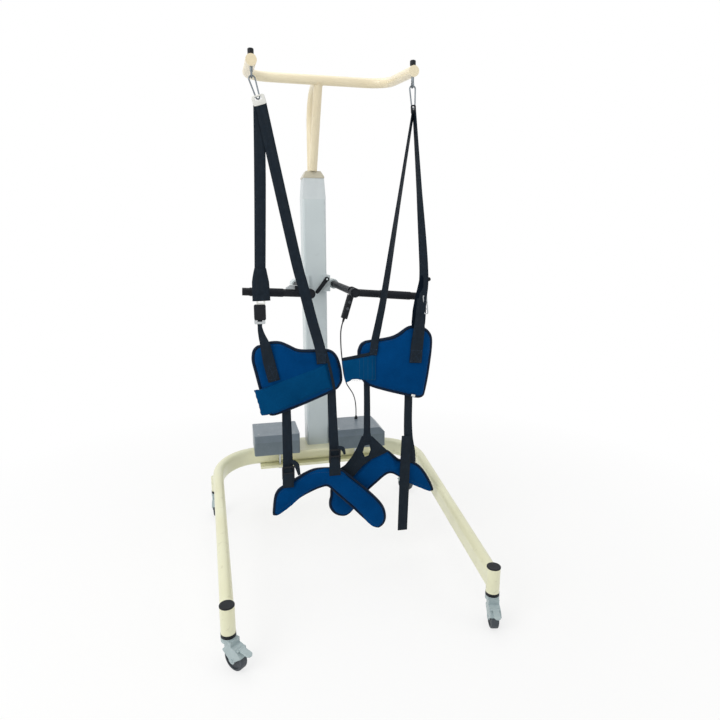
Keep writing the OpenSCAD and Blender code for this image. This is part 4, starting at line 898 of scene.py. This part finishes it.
leftWeb = makeStraps("strapsLeft", strapsLeft, "straps_left")
rightWeb = makeStraps("strapsRight", strapsRight, "straps_right", webPatches)
print("straps done")


# padded sleeve round the right shoulder strap

sleeve = {"route": [(0.331, 0.530, 1.140), (0.3265, 0.530, 1.09), (0.318, 0.530, 1.03), (0.311, 0.530, 0.922)],
          "width": [0.026, 0.038, 0.052, 0.054], "half": 0.0115, "fill": 0.5, "sides": 24, "step": 0.005,
          "square": 0.75, "ripple": 0.05, "ripples": 31, "girth": 0.02}


def makeSleeve():
    line = curveThrough([onMast(*p) for p in sleeve["route"]], sleeve["step"])
    gone, rings, widths, sides = lengths(line), [], sleeve["width"], sleeve["sides"]

    def squared(value):
        return math.copysign(abs(value) ** sleeve["square"], value)

    for i, p in enumerate(line):
        share = gone[i] / gone[-1]
        side = tangentAt(line, i).cross(Vector((0, -1, 0))).normalized()
        at = share * (len(widths) - 1)
        n = min(int(at), len(widths) - 2)
        wide = widths[n] + (widths[n + 1] - widths[n]) * (at - n)
        close = max(0.12, min(1.0, math.sin(math.pi * share) * 2.6)) ** 0.5  # the ends close in
        deep = sleeve["half"] * close * (1 + sleeve["ripple"] * math.sin(share * sleeve["ripples"]))
        rings.append([p + side * (squared(math.cos(a)) * wide / 2 * (0.8 + 0.2 * close))
                      + Vector((0, squared(math.sin(a)) * deep, 0)) for a in angles(sides)])
    around = [math.tau * sleeve["girth"] * k / sides for k in range(sides + 1)]
    piece = addPiece("shoulderSleeve", sweepRings("shoulderSleeve", rings, around, gone), "sleeveCloth")
    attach(piece, "harness")


makeSleeve()
print("sleeve done")


# buckles, slides and the two strap fittings under the hooks

flatFittings = [  # size is width, thickness, height; a hole has shares of width and height, a corner and a share up
    {"name": "fittingLeft", "kind": "paleFittings", "place": (-0.2515, 0.530, 1.6986), "lean": -17.0,
     "size": (0.044, 0.012, 0.032), "corner": 0.007, "bevel": 0.0018, "hole": (0.5, 0.34, 0.003, 0.18)},
    {"name": "fittingRight", "kind": "buckles", "place": (0.2769, 0.530, 1.6957), "lean": -4.0,
     "size": (0.018, 0.008, 0.030), "corner": 0.0054, "bevel": 0.0018, "hole": (0.44, 0.34, 0.003, 0.18)},
    {"name": "latchBlock", "kind": "buckles", "place": (-0.274, 0.530, 1.006), "size": (0.041, 0.013, 0.056),
     "corner": 0.006, "bevel": 0.0026},
    {"name": "latchLip", "kind": "buckles", "place": (-0.274, 0.5365, 1.01272), "size": (0.02542, 0.0039, 0.02352),
     "corner": 0.004, "bevel": 0.0014},
    {"name": "tongue", "kind": "paleFittings", "place": (-0.2695, 0.530, 1.0395), "size": (0.030, 0.005, 0.020),
     "corner": 0.004, "bevel": 0.0012, "hole": (0.62, 0.3, 0.0016, 0.14)},
    {"name": "latchFoot", "kind": "brightFittings", "place": (-0.2755, 0.530, 0.974), "size": (0.038, 0.010, 0.018),
     "corner": 0.004, "bevel": 0.0012, "hole": (0.62, 0.3, 0.0016, 0.14)},
    {"name": "paleTab", "kind": "paleFittings", "place": (0.292, 0.5480, 0.671), "lean": 16.0,
     "size": (0.016, 0.004, 0.009), "corner": 0.003, "bevel": 0.001},
]
slides = [  # frames with bars that webbing runs through; rim is also the width of a bar
    {"kind": "buckles", "place": (-0.195, 0.5715, 0.412), "tilt": 8.0, "size": (0.046, 0.006, 0.056),
     "rim": 0.006, "bars": 1},
    {"kind": "buckles", "place": (-0.020, 0.5715, 0.462), "tilt": 8.0, "size": (0.044, 0.006, 0.060),
     "rim": 0.006, "bars": 1},
    {"kind": "brightFittings", "place": (0.3345, 0.5430, 1.018), "lean": -6.0, "size": (0.018, 0.0045, 0.072),
     "rim": 0.004, "bars": 3},
]
slideEdge = {"corner": 0.006, "bevel": 0.0014, "gapCorner": 0.3}
hardEdge = 40  # degrees past which an edge stays sharp
knob = {"place": (0.3455, 0.536, 1.112), "profile": [  # radius and height
    (0.0004, -0.004), (0.0066, -0.004), (0.0076, 0.0), (0.0076, 0.006), (0.0060, 0.0085), (0.0004, 0.0092)]}
fittingKinds = {"buckles": ("blackPlastic", "black_plastic"), "paleFittings": ("whitePlastic", "black_plastic"),
                "brightFittings": ("brightSteel", "bright_steel")}


def fittingMesh(fitting):
    w, t, h = fitting["size"]
    outlines = [roundRect(w, h, fitting["corner"])]
    if "hole" in fitting:
        wide, high, corner, up = fitting["hole"]
        outlines.append(list(reversed(roundRect(w * wide, h * high, corner, (0, h * up)))))
    return plateMesh(fitting["name"], outlines, t, fitting["bevel"])


def slideMesh(slide):
    (w, t, h), rim, bars = slide["size"], slide["rim"], slide["bars"]
    gap = (h - 2 * rim - bars * rim) / (bars + 1)
    corner = min(gap, 0.01) * slideEdge["gapCorner"]
    outlines = [roundRect(w, h, slideEdge["corner"])]
    for k in range(bars + 1):
        middle = -h / 2 + rim + gap / 2 + k * (gap + rim)
        outlines.append(list(reversed(roundRect(w - 2 * rim, gap, corner, (0, middle), 3))))
    return plateMesh("slide", outlines, t, slideEdge["bevel"])


def makeBuckles():
    groups = {kind: [] for kind in fittingKinds}
    for make, fittings in ((fittingMesh, flatFittings), (slideMesh, slides)):
        for one in fittings:
            mesh = placeMesh(make(one), onMast(*one["place"]), one.get("tilt", 0.0), one.get("lean", 0.0))
            groups[one["kind"]].append(mesh)
    groups["buckles"].append(placeMesh(lathe("knob", knob["profile"]), onMast(*knob["place"])))
    for name, (material, slotName) in fittingKinds.items():
        piece = addPiece(name, joinMeshes(name, groups[name]), material)
        sharpen(piece, hardEdge)
        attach(piece, "harness")
        if name == "buckles":
            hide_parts("buckles")


makeBuckles()
print("buckles done")


# thread, weld beads and screws

stitch = {"size": (0.0012, 0.0010, 0.0048), "spacing": 0.0066, "spread": 0.15, "inset": 0.0115, "beltInset": 0.006,
          "boxes": [("left", -0.0615, 0.836, 0.028, 0.030, -8), ("left", -0.2405, 0.790, 0.032, 0.046, -13),
                    ("right", 0.2985, 0.826, 0.038, 0.044, -5), ("right", 0.1325, 0.851, 0.020, 0.018, -10)],
          "beltRows": [0.078, 0.094, 0.110, 0.127], "beltSpan": (0.746, 0.830)}
bead = {"size": (0.0052, 0.0052, 0.0026), "spacing": 0.0023, "spread": 0.12, "tube": 0.017, "yoke": 0.018,
        "yokeAt": (0.200, 1.855), "braceFoot": 0.018, "rearFoot": -0.024, "steps": 48}
screw = {"radius": 0.0035, "rise": 0.0016, "socket": 0.0016, "sides": 18, "inset": 0.022,
         "slopeInset": 0.050}  # the control box slopes at its right end


def faceTree(piece):
    mesh = piece.data
    return BVHTree.FromPolygons([v.co for v in mesh.vertices], [tuple(f.vertices) for f in mesh.polygons])


def sewnOn(tree, points):  # points across and up, laid on the front of a piece
    laid = []
    for x, z in points:
        hit = tree.ray_cast(Vector((x, -4.0, z)), Vector((0, 1, 0)))[0]
        if hit:
            laid.append(hit)
    return laid


def lineBetween(a, b, step=0.004):
    count = max(2, round(math.dist(a, b) / step))
    return [(a[0] + (b[0] - a[0]) * i / count, a[1] + (b[1] - a[1]) * i / count) for i in range(count + 1)]


def insetLine(pad):  # the outline moved inwards, without the points that come too near it again
    inset = stitch["inset"] if pad["trim"] else stitch["beltInset"]
    line, outline, inner = padLine(pad), padOutline(pad), []
    for i, p in enumerate(line):
        q = p - outward(line, i) * inset
        if edgeDistance(q.x, q.z, outline) > inset * 0.9:
            inner.append((q.x, q.z))
    return inner + inner[:1]


def makeStitches():
    trees = {name: faceTree(piece) for name, piece in padPieces.items()}
    paths = [sewnOn(trees[name], insetLine(pad)) for name, pad in pads.items()]
    webTrees = {"left": faceTree(leftWeb), "right": faceTree(rightWeb)}
    for which, x, z, w, h, turn in stitch["boxes"]:
        c, f = math.cos(math.radians(turn)), math.sin(math.radians(turn))
        corners = [(x + c * a * w / 2 - f * b * h / 2, z + f * a * w / 2 + c * b * h / 2)
                   for a, b in ((-1, -1), (1, -1), (1, 1), (-1, 1))]
        for a, b in ((0, 1), (1, 2), (2, 3), (3, 0), (0, 2), (1, 3)):  # four sides and the cross
            paths.append(sewnOn(webTrees[which], lineBetween(corners[a], corners[b])))
    low, high = stitch["beltSpan"]
    paths += [sewnOn(trees["beltRight"], lineBetween((x, low), (x, high))) for x in stitch["beltRows"]]
    scatter("stitches", paths, seedShape("stitchSeed", stitch["size"], 6, 4), "threadNavy", "harness",
            stitch["spacing"], stitch["spread"])


def makeWelds():
    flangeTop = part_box("mast_flange")[1][2]
    foot, head = onMast(0, bead["braceFoot"], flangeTop), onMast(0, *bead["yokeAt"])
    along = (head - foot).normalized()
    sideways = Vector((1, 0, 0))
    out = sideways.cross(along)
    saddle, ring, rear = [], [], []
    for k in range(bead["steps"] + 1):
        a = math.tau * k / bead["steps"]
        start = foot + (sideways * math.cos(a) + out * math.sin(a)) * bead["tube"]
        gap = start - head  # distance from the yoke's line, solved for the way along the brace
        b, c = gap.y * along.y + gap.z * along.z, gap.y ** 2 + gap.z ** 2 - bead["yoke"] ** 2
        saddle.append(start + along * (-b - math.sqrt(max(0.0, b * b - c))))
        ring.append(start + along * ((flangeTop - start.z) / along.z))
        rear.append(onMast(bead["tube"] * math.cos(a), bead["rearFoot"] + bead["tube"] * math.sin(a), flangeTop))
    scatter("weldBeads", [saddle, ring, rear], seedShape("beadSeed", bead["size"]), "yokePaint", "lift",
            bead["spacing"], bead["spread"])


def screwMesh():  # low round head with a six-sided socket
    r, h, s = screw["radius"], screw["rise"], screw["socket"]
    rings = []
    for radius, z, six in ((r, -0.0006, 0), (r, h * 0.55, 0), (r * 0.86, h * 0.92, 0), (r * 0.66, h, 0), (s, h, 1),
                           (s * 0.96, h * 0.25, 1), (s * 0.1, h * 0.2, 1)):
        ring = []
        for a in angles(screw["sides"]):
            flat = math.cos(math.pi / 6) / math.cos((a % (math.pi / 3)) - math.pi / 6) if six else 1.0
            ring.append(Vector((radius * flat * math.cos(a), radius * flat * math.sin(a), z)))
        rings.append(ring)
    return sweepRings("screw", rings, [0.0] * (screw["sides"] + 1), [0.0] * len(rings))


def makeScrews():
    spots, inset = [], screw["inset"]
    for node, rightInset in (("battery_lid", inset), ("control_lid", screw["slopeInset"])):
        lo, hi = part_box(node)
        spots += [(x, y, hi[2]) for x in (lo[0] + inset, hi[0] - rightInset)
                  for y in (lo[1] + inset, hi[1] - inset)]
    scatter("lidScrews", [spots], screwMesh(), "brightSteel", "base")


makeStitches()
makeWelds()
makeScrews()
print("details done")
